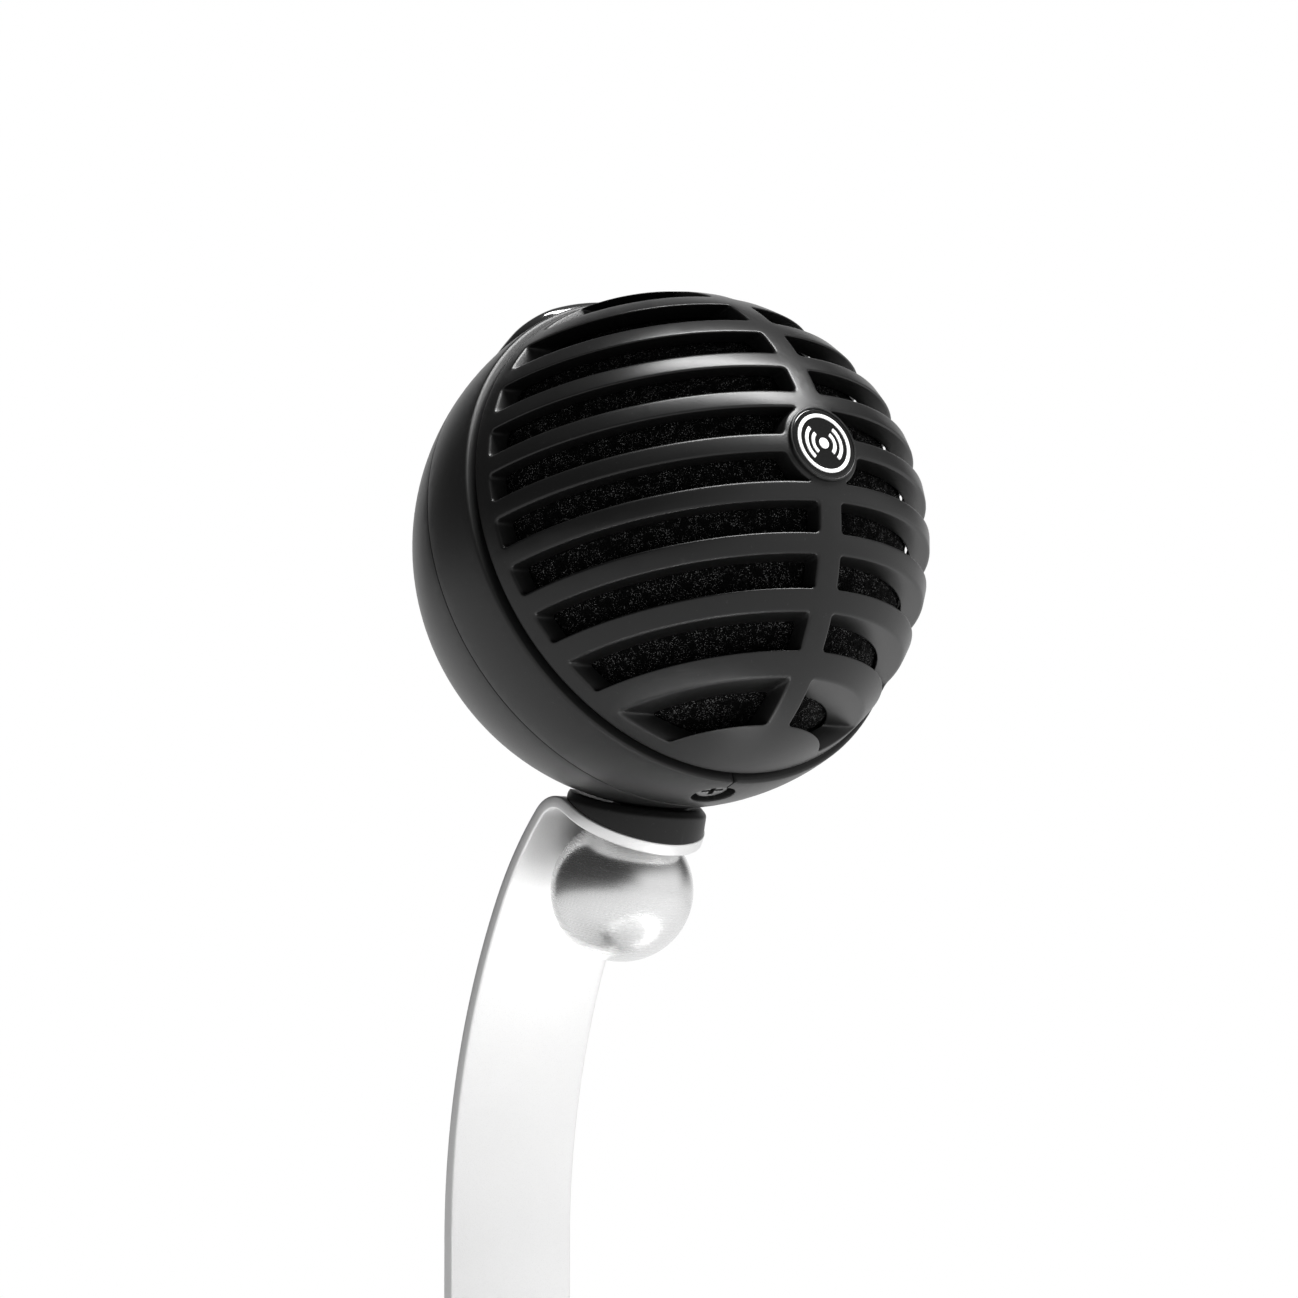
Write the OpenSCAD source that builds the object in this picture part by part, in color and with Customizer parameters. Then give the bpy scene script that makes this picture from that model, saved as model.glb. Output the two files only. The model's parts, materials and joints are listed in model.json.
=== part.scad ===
// Desktop microphone: a ball-shaped head on a bent sheet-metal stand.
// +Z is up, the head faces -Y, and the origin is on the ground under the middle of the outline.

/* [Head] */
// Outer diameter of the rear casing
casing_d = 68.4; // [67:0.2:70]
// Outer diameter of the ribbed front grille
grille_d = 66.8; // [66:0.2:67.4]
// Upward tilt of the head's front, in degrees
head_tilt = 18; // [10:1:24]
// Height of the head's centre above the ground
head_z = 107.4; // [104:0.2:112]

/* [Grille] */
// Distance from one slot to the next
slot_pitch = 6.36; // [6.1:0.02:6.4]
// Height of one slot
slot_h = 3.8; // [3.2:0.1:4]
// Width of the upright centre rib
rib_w = 3.6; // [3:0.1:5]
// Depth of the ribs
rib_depth = 2.8; // [2.2:0.1:3]
// Diameter of the round badge on the front
badge_d = 9.6; // [8:0.1:10.4]

/* [Stand] */
// Width of the metal strip
strip_w = 19.6; // [19:0.2:21]
// Thickness of the sheet
sheet_t = 1.7; // [1.5:0.1:1.9]
// Overall depth of the stand, front to back
stand_depth = 97; // [96:0.5:99]
// Outer diameter of the foot ring
foot_d = 89; // [84:1:92]
// Width of the foot ring's sheet
foot_w = 14; // [12:0.5:16]
// Lean of the stud that holds the head
stud_lean = 14.5; // [14:0.5:15.5]
// Slope of the tab under the head
tab_slope = 30; // [29:0.5:31]

/* [Nut] */
// Diameter of the ball nut
nut_d = 18.8; // [18:0.2:19]
// Diameter of the threaded stud
stud_d = 6.3; // [6:0.05:6.35]

/* [Hidden] */
$fn = 96;

gap = 0.05;            // running clearance between turning fits
loose = 0.3;           // clearance between curved faces of different bodies
far = 80;              // larger than anything it cuts

// casing and grille shells
casing_r = casing_d / 2;
casing_wall = 2.4;
casing_in = casing_r - casing_wall;
grille_r = grille_d / 2;
grille_in = grille_r - rib_depth;
slots = 10;            // rows of slots, five above and five below the badge
slot_front = -5.9;     // the slots stop at this plane behind the rim band
grille_back = -3.3;    // rear face of the grille's rim band
casing_front = -2.5;   // front face of the middle casing ring
seam_y = 7.7;          // parting line between middle ring and rear cap
seam_gap = 0.1;

// badge
boss_r = badge_d / 2 + 0.9;
boss_face = -grille_r - 0.1;
badge_floor = boss_face + 0.9;
emblem_h = 0.12;

// stud, nut and collar, measured along the stud from the head's centre
tab_d = 35.2;          // tab's upper face
slot_half = 4.05;      // half width of the tab's slot
nut_r = nut_d / 2;
nut_drop = (sqrt(pow(nut_r, 2) - pow(slot_half - gap, 2)) + sheet_t) / cos(tab_slope - stud_lean);
nut_c = tab_d + nut_drop;                            // ball nut's centre, seated in the slot
slot_run = nut_drop * sin(tab_slope - stud_lean);    // how far the slot runs forward of the stud
stud_top = 24;
insert_top = 22;
insert_r = 4.6;
washer_top = tab_d + 1.12;
washer_bottom = tab_d + 1.7;
collar_top = 33.55;
collar_r = strip_w / 2 - 0.3;
collar_chamfer = 0.8;
peg_r = 1;
peg_x = 7;
stud_r = stud_d / 2;

// spine: heading in degrees and outer radius of each bend, from the tab down to the foot
tab_flat = 2.3;        // flat length of the tab behind the stud
crest_r = 5.5;
crest_end = -43;
shoulder_r = 48;
shoulder_end = -60;
waist_r = 90;
heel_r = 8.8;
pad_t = 1;
bend_step = 3;         // largest turn between two points of a bend, in degrees

// controls
island_r = casing_r + 1.5;
island_x = 16;
island_y0 = 0.2;
island_y1 = 16;
island_corner = 5;
wheel_r = 4.5;
wheel_half = 10;
wheel_y = 5.2;
wheel_z = sqrt(island_r * island_r - wheel_y * wheel_y) + 0.8 - wheel_r;
axle_r = 0.8;
button_r = 1.95;
button_x = 6.5;
button_y = 12.6;
button_foot = 27.9;
lamp_r = 0.55;
lamp_pitch = 1.5;

// inside
baffle_y0 = -1.8;
baffle_y1 = 0;
capsule_r = 8;
capsule_y0 = -24;
capsule_y1 = -14;
boot_r = 10;
board_y = 17;
board_t = 1.6;
board_r = 22;
post_places = [[16, 8], [-16, 8], [0, 17]];
port_z = -3;
port_y = 31.1;
jack_x = -8;
jack_r = 1.8;
plug_x = 7.5;
screw_y = 2.2;
screw_seat = -32.2;

// ---- frames ----
module in_head() {
    translate([0, head_y, head_z]) rotate([-head_tilt, 0, 0]) children();
}
module in_stud() {
    translate([0, head_y, head_z]) rotate([stud_lean, 0, 0]) children();
}
module in_tab() {
    in_stud() translate([0, 0, -tab_d]) rotate([tab_slope - stud_lean, 0, 0]) children();
}
// cylinder along the head's front-back axis, from y0 to y1
module along_y(r, y0, y1) {
    translate([0, y1, 0]) rotate([90, 0, 0]) cylinder(r = r, h = y1 - y0);
}
// slab across the head's front-back axis, from y0 to y1
module slab(y0, y1) {
    translate([-far / 2, y0, -far / 2]) cube([far, y1 - y0, far]);
}
module ring_z(r_out, r_in, h) {
    difference() {
        cylinder(r = r_out, h = h);
        translate([0, 0, -1]) cylinder(r = r_in, h = h + 2);
    }
}
// upright prism with rounded corners, used for the control island and its pocket
module island_prism(grow) {
    x = island_x + grow;
    y0 = island_y0 - grow;
    y1 = island_y1 + grow;
    c = island_corner;
    translate([0, 0, 15]) linear_extrude(30) union() {
        translate([-x + c, y0]) square([2 * x - 2 * c, y1 - y0]);
        translate([-x, y0 + c]) square([2 * x, y1 - y0 - 2 * c]);
        for (sx = [-1, 1], sy = [y0 + c, y1 - c]) translate([sx * (x - c), sy]) circle(r = c);
    }
}
// barrel whose side follows the island's curve
module barrel(r, half) {
    translate([0, wheel_y, wheel_z]) rotate([0, 90, 0]) rotate_extrude() intersection() {
        translate([0, -half]) square([r, 2 * half]);
        translate([r - island_r, 0]) circle(r = island_r, $fn = 180);
    }
}

// ---- stand ----
// points along one face of a bend, swept clockwise from heading h0 to h1 round centre c
function arc(c, r, h0, h1) = let (n = ceil(abs(h1 - h0) / bend_step))
    [for (i = [0 : n]) c + r * outward(h0 + (h1 - h0) * i / n)];
function outward(h) = [-sin(h), cos(h)];

// bend centres in the side view, worked out from the tab downwards
tab_at = [tab_d * sin(stud_lean), -tab_d * cos(stud_lean)];
tab_along = [cos(tab_slope), sin(tab_slope)];
crest_c = tab_at + tab_flat * tab_along - crest_r * outward(tab_slope);
shoulder_c = crest_c + (crest_r - shoulder_r) * outward(crest_end);
waist_c = shoulder_c + (shoulder_r - waist_r) * outward(shoulder_end);
spine_back = waist_c[0] + waist_r;
foot_top = pad_t - head_z;            // the sheet's lower face, in the side view
heel_c = [spine_back - heel_r, foot_top + heel_r];
foot_y = -stand_depth / 2 + foot_d / 2;
head_y = stand_depth / 2 - spine_back;

// one face of the sheet in the side view, inset from the outer face, from the tab's end into the foot
function spine_face(inset) = concat(
    [tab_at - strip_w / 2 * tab_along - inset * outward(tab_slope)],
    arc(crest_c, crest_r - inset, tab_slope, crest_end),
    arc(shoulder_c, shoulder_r - inset, crest_end, shoulder_end),
    arc(waist_c, waist_r - inset, shoulder_end, -90),
    arc(heel_c, heel_r - inset, -90, -180),
    [[heel_c[0] - foot_w / 2, foot_top + inset]]);
function reversed(list) = [for (i = [len(list) - 1 : -1 : 0]) list[i]];

module stand_strip() {
    color("silver") difference() {
        union() {
            translate([0, head_y, head_z]) rotate([90, 0, 90]) linear_extrude(strip_w, center = true)
                polygon(concat(spine_face(0), reversed(spine_face(sheet_t))));
            translate([0, 0, pad_t]) foot_ring();
        }
        in_tab() translate([0, 0, -sheet_t - 1]) linear_extrude(sheet_t + 2) {
            tab_slot();
            tab_corners();
        }
        for (s = [-1, 1]) in_tab() translate([s * peg_x, -1, -1.3]) cylinder(r = peg_r + gap, h = 3);
    }
}
module tab_slot() {
    circle(r = slot_half);
    translate([0, -slot_run]) circle(r = slot_half);
    translate([-slot_half, -slot_run]) square([2 * slot_half, slot_run]);
}
// what is cut away to round the tab's end
module tab_corners() {
    difference() {
        translate([-strip_w, -strip_w]) square([2 * strip_w, strip_w]);
        circle(r = strip_w / 2 + 0.02);
    }
}
module foot_ring() {
    intersection() {
        translate([0, foot_y, 0]) ring_z(foot_d / 2, foot_d / 2 - foot_w, sheet_t);
        translate([-far, head_y + heel_c[0] - 2 * far, -1]) cube([2 * far, 2 * far, sheet_t + 2]);
    }
}
module foot_pad() {
    color("#202020") translate([0, foot_y, 0]) ring_z(foot_d / 2 - 1.5, foot_d / 2 - foot_w + 1.5, pad_t);
}
module neck_collar() {
    color("#181818") difference() {
        intersection() {
            in_stud() union() {
                translate([0, 0, -collar_top - 20]) cylinder(r = collar_r, h = 20 - collar_chamfer);
                translate([0, 0, -collar_top - collar_chamfer])
                    cylinder(r1 = collar_r, r2 = collar_r - collar_chamfer, h = collar_chamfer);
            }
            in_tab() translate([-far / 2, -strip_w / 2, 0]) cube([far, strip_w / 2 + tab_flat + 3, far]);
        }
        in_head() sphere(r = casing_r + loose);
        in_stud() translate([0, 0, -far]) cylinder(r = stud_r + loose, h = far);
        pad_groove(gap);
        in_tab() translate([-far / 2, tab_flat, -far + 0.15]) cube([far, far, far]);
    }
    color("#181818") for (s = [-1, 1]) in_tab() translate([s * peg_x, -1, -1.25]) cylinder(r = peg_r, h = 1.6);
}
// open ring let into the collar's cup round its deep front half
module pad_groove(grow) {
    in_stud() translate([0, 0, -casing_r - 0.5]) rotate([0, 0, 180 + 35])
        rotate_extrude(angle = 110, $fn = 96) translate([5.3 - grow, -grow])
            square([1.8 + 2 * grow, 0.9 + 2 * grow]);
}
module friction_pad() {
    color("#303030") pad_groove(0);
}

// ---- ball nut and stud ----
module ball_nut() {
    color("#c8c8c8") in_stud() difference() {
        translate([0, 0, -nut_c]) sphere(r = nut_r);
        translate([0, 0, -nut_c - 1]) cylinder(r = stud_r, h = 20);
    }
}
module nut_stud() {
    color("#909090") in_stud() translate([0, 0, -nut_c - 1]) cylinder(r = stud_r, h = nut_c + 1 - stud_top);
}
module captive_washer() {
    color("#e8e8e0") in_stud() translate([0, 0, -washer_bottom])
        ring_z(slot_half - 0.2, stud_r + gap, washer_bottom - washer_top);
}
module thread_insert() {
    color("#b08d57") in_stud() translate([0, 0, -casing_in - 1]) {
        ring_z(insert_r, stud_r + gap, casing_in + 1 - insert_top);
        translate([0, 0, casing_in + 1 - insert_top - 1.5]) ring_z(insert_r + 1.2, stud_r + gap, 1.5);
    }
}

// ---- casing ----
module casing_band(y0, y1) {
    intersection() {
        difference() {
            sphere(r = casing_r, $fn = 160);
            sphere(r = casing_in, $fn = 160);
        }
        slab(y0, y1);
    }
}
module insert_boss() {
    intersection() {
        rotate([stud_lean + head_tilt, 0, 0]) translate([0, 0, -casing_r]) cylinder(r = insert_r + 2.4, h = casing_r - 23.6);
        sphere(r = casing_in + 0.5);
    }
}
module rear_shell() {
    color("#1c1c1c") in_head() difference() {
        union() {
            casing_band(seam_y + seam_gap, far / 2);
            insert_boss();
            intersection() {
                for (p = post_places) translate([p[0], 0, p[1]]) along_y(2.2, board_y + board_t, far / 2);
                sphere(r = casing_in + 0.5);
            }
        }
        rotate([stud_lean + head_tilt, 0, 0]) {
            translate([0, 0, -far]) cylinder(r = stud_r + loose, h = far);
            translate([0, 0, -casing_in - 1.05]) cylinder(r = insert_r + gap, h = 20);
        }
        for (p = post_places) translate([p[0], 0, p[1]]) along_y(0.8, board_y, board_y + 8);
        translate([jack_x, 0, port_z]) {
            along_y(3.3, 20, far / 2);
            along_y(5.2, port_y + 0.5, far / 2);
        }
        translate([plug_x - 4.8, 20, port_z - 1.95]) cube([9.6, 20, 3.9]);
        translate([plug_x - 6.5, port_y + 0.5, port_z - 4]) cube([13, 10, 8]);
        island_prism(gap);
    }
}
module middle_shell() {
    color("#1c1c1c") in_head() difference() {
        union() {
            casing_band(casing_front, seam_y);
            intersection() {
                translate([0, screw_y, -casing_r]) cylinder(r = 4.2, h = 7.2);
                sphere(r = casing_in + 0.5);
            }
        }
        translate([0, screw_y, -far / 2]) cylinder(r = 2.9, h = far / 2 + screw_seat);
        translate([0, screw_y, -far / 2]) cylinder(r = 1.15, h = far / 2 - 20);
        translate([-0.1, -far / 2, -far / 2]) cube([0.2, far / 2 + screw_y, far / 2 - 31]);
        island_prism(gap);
    }
}
module case_screw() {
    color("#505050") in_head() translate([0, screw_y, 0]) difference() {
        union() {
            translate([0, 0, screw_seat - 1.2]) cylinder(r = 2.2, h = 1.2);
            translate([0, 0, screw_seat]) cylinder(r = 1.1, h = 4.6);
        }
        for (a = [0, 90]) rotate([0, 0, a + 20]) translate([-1.3, -0.28, screw_seat - 2]) cube([2.6, 0.56, 1.5]);
    }
}
module rim_gasket() {
    color("#101010") in_head() translate([0, casing_front - gap, 0]) rotate([90, 0, 0])
        ring_z(grille_r - 0.9, grille_in + 0.3, casing_front - grille_back - 2 * gap);
}

// ---- grille and foam ----
module grille_slots() {
    for (i = [0 : slots - 1], s = [-1, 1])
        translate([s > 0 ? rib_w / 2 : -rib_w / 2 - far, -far / 2, (i - (slots - 1) / 2) * slot_pitch - slot_h / 2])
            cube([far, far / 2 + slot_front, slot_h]);
}
module front_grille() {
    color("#1a1a1a") in_head() difference() {
        union() {
            difference() {
                intersection() {
                    sphere(r = grille_r, $fn = 160);
                    slab(-far / 2, grille_back);
                }
                sphere(r = grille_in, $fn = 160);
                grille_slots();
            }
            difference() {
                along_y(boss_r, boss_face, -20);
                sphere(r = grille_in, $fn = 160);
            }
        }
        along_y(badge_d / 2 + gap, -far / 2, badge_floor);
    }
}
module foam_windscreen() {
    color("#080808") in_head() difference() {
        intersection() {
            sphere(r = grille_in - loose);
            slab(-far / 2, slot_front + 1.4);
        }
        sphere(r = grille_in - loose - 3);
    }
}
module badge_disc() {
    color("#0a0a0a") in_head() along_y(badge_d / 2, boss_face, badge_floor);
}
module badge_emblem() {
    // a dot between two pairs of arcs inside a thin ring
    color("white") in_head() translate([0, boss_face, 0]) rotate([90, 0, 0]) {
        ring_z(4.1, 3.6, emblem_h);
        cylinder(r = 0.75, h = emblem_h);
        for (a = [0, 180], r = [1.45, 2.45]) rotate([0, 0, a - 48])
            rotate_extrude(angle = 96, $fn = 96) translate([r, 0]) square([0.5, emblem_h]);
    }
}

// ---- capsule and boards ----
module mic_capsule() {
    color("#c0a060") in_head() along_y(capsule_r, capsule_y0, capsule_y1);
}
module capsule_boot() {
    color("#303030") in_head() difference() {
        along_y(boot_r, capsule_y0 + 1, capsule_y1 + 2);
        along_y(capsule_r + gap, capsule_y0, capsule_y1 + gap);
        along_y(5, capsule_y0, 0);
    }
}
module baffle() {
    color("#282828") in_head() difference() {
        union() {
            along_y(casing_in - loose, baffle_y0, baffle_y1);
            along_y(boot_r + 1.6, capsule_y0 + 3, baffle_y0);
        }
        along_y(boot_r + gap, -far / 2, baffle_y0 - 1.5);
        along_y(5, -far / 2, far / 2);
        translate([0, screw_y, -far / 2]) cylinder(r = 4.4, h = far / 2 - 26);
    }
}
module capsule_leads() {
    color("#a02020") in_head() for (s = [-1, 1]) translate([s * 2, 0, 0]) along_y(0.4, capsule_y1, board_y);
}
module main_board() {
    color("#205030") in_head() difference() {
        intersection() {
            along_y(board_r, board_y, board_y + board_t);
            translate([-far / 2, 0, -12]) cube([far, far, far]);
        }
        for (p = post_places) translate([p[0], 0, p[1]]) along_y(1, 0, far / 2);
    }
}
module board_screws() {
    color("#909090") in_head() for (p = post_places) translate([p[0], 0, p[1]]) {
        along_y(1.7, board_y - 1.1, board_y);
        along_y(0.78, board_y, board_y + 6);
    }
}
module port_board() {
    color("#205030") in_head() translate([-12, board_y + board_t, -7]) cube([24, 8.9, 1.2]);
}
module cable_socket() {
    color("#b0b0b0") in_head() translate([plug_x, 0, port_z]) difference() {
        translate([-4.5, 23.4, -1.65]) cube([9, port_y - 23.4, 3.3]);
        translate([-4.2, 24.2, -1.35]) cube([8.4, 10, 2.7]);
    }
    color("#b0b0b0") in_head() for (s = [-1, 1])
        translate([plug_x + s * 3.4 - 0.4, 24, -5.8]) cube([0.8, 1.2, -1.65 + port_z + 5.8]);
}
module socket_tongue() {
    color("#101010") in_head() translate([plug_x - 3.3, 24.2, port_z - 0.35]) cube([6.6, 6.2, 0.7]);
}
module headphone_socket() {
    color("#181818") in_head() difference() {
        union() {
            translate([jack_x - 3, board_y + board_t + 0.3, -5.8]) cube([6, 28.6 - board_y - board_t - 0.3, 5.8]);
            translate([jack_x, 0, port_z]) along_y(2.7, 28, port_y - 0.7);
        }
        translate([jack_x, 0, port_z]) along_y(jack_r, board_y + board_t + 1.2, far / 2);
    }
}
module headphone_collar() {
    color("#d0d0d0") in_head() translate([jack_x, port_y + 0.3, port_z]) rotate([90, 0, 0])
        ring_z(3.1, jack_r, 1);
}

// ---- controls ----
module control_island() {
    color("#202020") in_head() difference() {
        union() {
            intersection() {
                difference() {
                    sphere(r = island_r, $fn = 160);
                    sphere(r = casing_in, $fn = 160);
                }
                island_prism(0);
            }
            for (s = [-1, 1]) translate([s * 11.2 - 0.7, wheel_y - 2, wheel_z - 2])
                cube([1.4, 4, 3]);
        }
        barrel(wheel_r + loose, wheel_half + loose);
        translate([-12.5, wheel_y, wheel_z]) rotate([0, 90, 0]) cylinder(r = axle_r + gap, h = 25);
        for (s = [-1, 1]) translate([s * button_x, button_y, 20]) cylinder(r = button_r + 0.2, h = 20);
        for (i = [-2 : 2]) translate([i * lamp_pitch, button_y, 20]) cylinder(r = lamp_r + gap, h = 20);
    }
}
module volume_wheel() {
    color("#e0e0e0") in_head() difference() {
        barrel(wheel_r, wheel_half);
        translate([-15, wheel_y, wheel_z]) rotate([0, 90, 0]) cylinder(r = axle_r, h = 30);
    }
}
module wheel_axle() {
    color("#808080") in_head() translate([-12, wheel_y, wheel_z]) rotate([0, 90, 0]) cylinder(r = axle_r, h = 24);
}
module button_cap(side) {
    in_head() intersection() {
        translate([side * button_x, button_y, button_foot]) cylinder(r = button_r, h = 20);
        sphere(r = island_r + 0.4);
    }
}
module mode_button() {
    color("#303030") button_cap(-1);
}
module mute_button() {
    color("#303030") button_cap(1);
}
module level_lamps() {
    color("#60c060") in_head() for (i = [-2 : 2]) intersection() {
        translate([i * lamp_pitch, button_y, 30.6]) cylinder(r = lamp_r, h = 10);
        sphere(r = island_r + 0.05);
    }
}
module tact_switches() {
    color("#404040") in_head() for (s = [-1, 1]) translate([s * button_x - 2, button_y - 2, 25.6]) cube([4, 4, 1.5]);
}
module control_board() {
    color("#205030") in_head() translate([-11, 1, 24.4]) cube([22, 13.5, 1.2]);
}

stand_strip();
foot_pad();
neck_collar();
friction_pad();
ball_nut();
nut_stud();
captive_washer();
thread_insert();
rear_shell();
middle_shell();
case_screw();
rim_gasket();
front_grille();
foam_windscreen();
badge_disc();
badge_emblem();
mic_capsule();
capsule_boot();
baffle();
capsule_leads();
main_board();
board_screws();
port_board();
cable_socket();
socket_tongue();
headphone_socket();
headphone_collar();
control_island();
volume_wheel();
wheel_axle();
mode_button();
mute_button();
level_lamps();
tact_switches();
control_board();
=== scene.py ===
# %% [markdown]
# # A desktop microphone
# The model is built in metres around a CAD assembly that is already packed. Each visible part
# then gets a finer mesh and a procedural finish.

# %% Load the frame
import json
from math import acos, asin, atan2, ceil, cos, degrees, hypot, pi, radians, sin, sqrt

import bpy
import numpy as np
from mathutils import Matrix, Vector, kdtree, noise
from mathutils.geometry import delaunay_2d_cdt


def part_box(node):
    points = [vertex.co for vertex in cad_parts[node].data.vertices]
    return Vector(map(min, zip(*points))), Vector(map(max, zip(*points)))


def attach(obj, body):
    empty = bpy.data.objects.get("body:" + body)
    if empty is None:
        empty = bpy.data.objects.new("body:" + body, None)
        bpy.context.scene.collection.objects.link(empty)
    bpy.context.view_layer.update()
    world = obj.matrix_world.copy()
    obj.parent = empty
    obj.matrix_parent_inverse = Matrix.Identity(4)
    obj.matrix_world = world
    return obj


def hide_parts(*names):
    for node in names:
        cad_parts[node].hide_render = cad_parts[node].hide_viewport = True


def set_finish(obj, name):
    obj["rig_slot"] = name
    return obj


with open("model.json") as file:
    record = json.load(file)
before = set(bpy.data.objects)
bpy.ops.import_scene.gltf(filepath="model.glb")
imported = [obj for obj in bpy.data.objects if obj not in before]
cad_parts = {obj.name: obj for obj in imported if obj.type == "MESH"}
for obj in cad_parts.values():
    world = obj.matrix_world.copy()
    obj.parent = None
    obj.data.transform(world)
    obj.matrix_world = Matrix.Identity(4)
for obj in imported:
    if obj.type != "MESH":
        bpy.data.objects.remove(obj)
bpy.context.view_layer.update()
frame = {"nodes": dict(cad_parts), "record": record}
NODES = frame["nodes"]

# %% [markdown]
# ## Where things are
# The head is a ball that leans back, and the stud under it leans the other way. Giving each its own
# matrix lets a piece be modelled square to its own axes in millimetres. The ball's centre comes from
# the rear shell's box, because a ball's lowest and rearmost points are one radius from its centre.

# %% Frames of the head and the stud
MM = 0.001
CASE_R = 34.2
GRILLE_R = 33.4
GRILLE_IN = 30.6
HEAD_TILT, STUD_LEAN, TAB_SLOPE = 18, 14.5, 30
TAB_DROP = 35.2

shell_low, shell_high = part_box("rear_shell")
centre = Vector((0, shell_high.y - CASE_R * MM, shell_low.z + CASE_R * MM))

def turned(degrees_about_x):
    return Matrix.Rotation(radians(degrees_about_x), 4, "X")

WORLD = Matrix.Scale(MM, 4)
HEAD = Matrix.Translation(centre) @ turned(-HEAD_TILT) @ WORLD
STUD = Matrix.Translation(centre) @ turned(STUD_LEAN) @ WORLD
SIDE = Matrix.Translation(centre) @ WORLD
print("ball centre, mm:", [round(c / MM, 2) for c in centre])

# %% [markdown]
# ## From lists of points to pieces
# Every piece here starts as plain arrays of corners and faces. One function turns them into an
# object, shades it smooth, puts it on its body and hides the CAD node that it stands for.

# %% Make a piece
def make_piece(name, mesh, place, body, slot, *nodes):
    points, faces = mesh
    data = bpy.data.meshes.new(name)
    world = [place @ Vector(p) for p in np.asarray(points, float).tolist()]
    data.from_pydata(world, [], [tuple(int(i) for i in f) for f in faces])
    data.validate()
    data.polygons.foreach_set("use_smooth", [True] * len(data.polygons))
    piece = bpy.data.objects.new(name, data)
    bpy.context.scene.collection.objects.link(piece)
    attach(piece, body)
    if nodes:
        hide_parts(*nodes)
    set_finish(piece, slot)
    pieces[name] = piece
    print(name, len(data.vertices), "vertices")
    return piece

pieces = {}

def joined(*meshes):
    """Several meshes as one list of points and one list of faces."""
    points, faces, start = [], [], 0
    for some_points, some_faces in meshes:
        points.append(np.asarray(some_points, float))
        faces += [tuple(i + start for i in f) for f in some_faces]
        start += len(some_points)
    return np.vstack(points), faces

def shifted(mesh, matrix):
    points, faces = mesh
    return np.array([matrix @ Vector(p) for p in np.asarray(points).tolist()]), faces

# %% [markdown]
# ## Turned shapes
# A nut, a ring or a button is made on a lathe, so its mesh is a profile spun round an axis. The
# profile's corners are rounded first, since real edges are never razor sharp and the small curve
# is what catches the light.

# %% Round the corners of a profile and spin it
def rounded_line(corners, sizes, steps=4, closed=False):
    """Corners with a rounding size each; every rounded corner becomes a short curve."""
    corners = [np.array(c, float) for c in corners]
    out, n = [], len(corners)
    for i, (corner, size) in enumerate(zip(corners, sizes)):
        ends = not closed and i in (0, n - 1)
        if size <= 0 or ends:
            out.append(corner)
            continue
        before, after = corners[i - 1] - corner, corners[(i + 1) % n] - corner
        a = corner + before / np.linalg.norm(before) * size
        b = corner + after / np.linalg.norm(after) * size
        for k in range(steps + 1):
            t = k / steps
            out.append((1 - t) ** 2 * a + 2 * t * (1 - t) * corner + t ** 2 * b)
    return np.array(out)

def spun(profile, segments=96, start=0.0, sweep=360.0):
    """A profile of (radius, height) points spun round the z axis; it is closed if it meets itself."""
    profile = np.asarray(profile, float)
    whole = sweep >= 360
    count = segments if whole else segments + 1
    angles = np.radians(start + sweep * np.arange(count) / segments)
    points, faces, rings = [], [], []
    for r, z in profile:
        if r < 1e-6 and whole:
            rings.append([len(points)] * count)
            points.append((0, 0, z))
        else:
            rings.append(list(range(len(points), len(points) + count)))
            points += [(r * cos(a), r * sin(a), z) for a in angles]
    turns = count if whole else count - 1
    for low, high in zip(rings, rings[1:]):
        for i in range(turns):
            j = (i + 1) % count
            face = []
            for corner in (low[i], low[j], high[j], high[i]):
                if corner not in face:
                    face.append(corner)
            if len(face) > 2:
                faces.append(tuple(face))
    if not whole:
        faces.append(tuple(r[0] for r in rings))
        faces.append(tuple(r[-1] for r in rings)[::-1])
    return np.array(points), faces

ALONG_Y = Matrix.Rotation(radians(90), 4, "X")   # turns a spun shape's axis to the head's front (-y)

# %% [markdown]
# ## Pierced skins
# The grille, the casing and the sheet-metal stand are all thin walls with holes. Such a wall can be
# drawn flat, as outlines on a map, and then wrapped onto a ball, a plane or a bent sheet. Each
# outline gets a rounded edge on both faces, a side wall between them, and triangles fill the rest.
# Drawing on a map keeps every hole's edge exact, which cutting with booleans does not.

# %% Maps: a ball seen from one pole, and a flat plate
AXES = {"front": ((1, 0, 0), (0, 0, 1), (0, -1, 0)), "back": ((0, 0, 1), (1, 0, 0), (0, 1, 0)),
        "top": ((1, 0, 0), (0, 1, 0), (0, 0, 1))}

def unit(vectors):
    return vectors / np.maximum(np.linalg.norm(vectors, axis=-1, keepdims=True), 1e-12)

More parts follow.
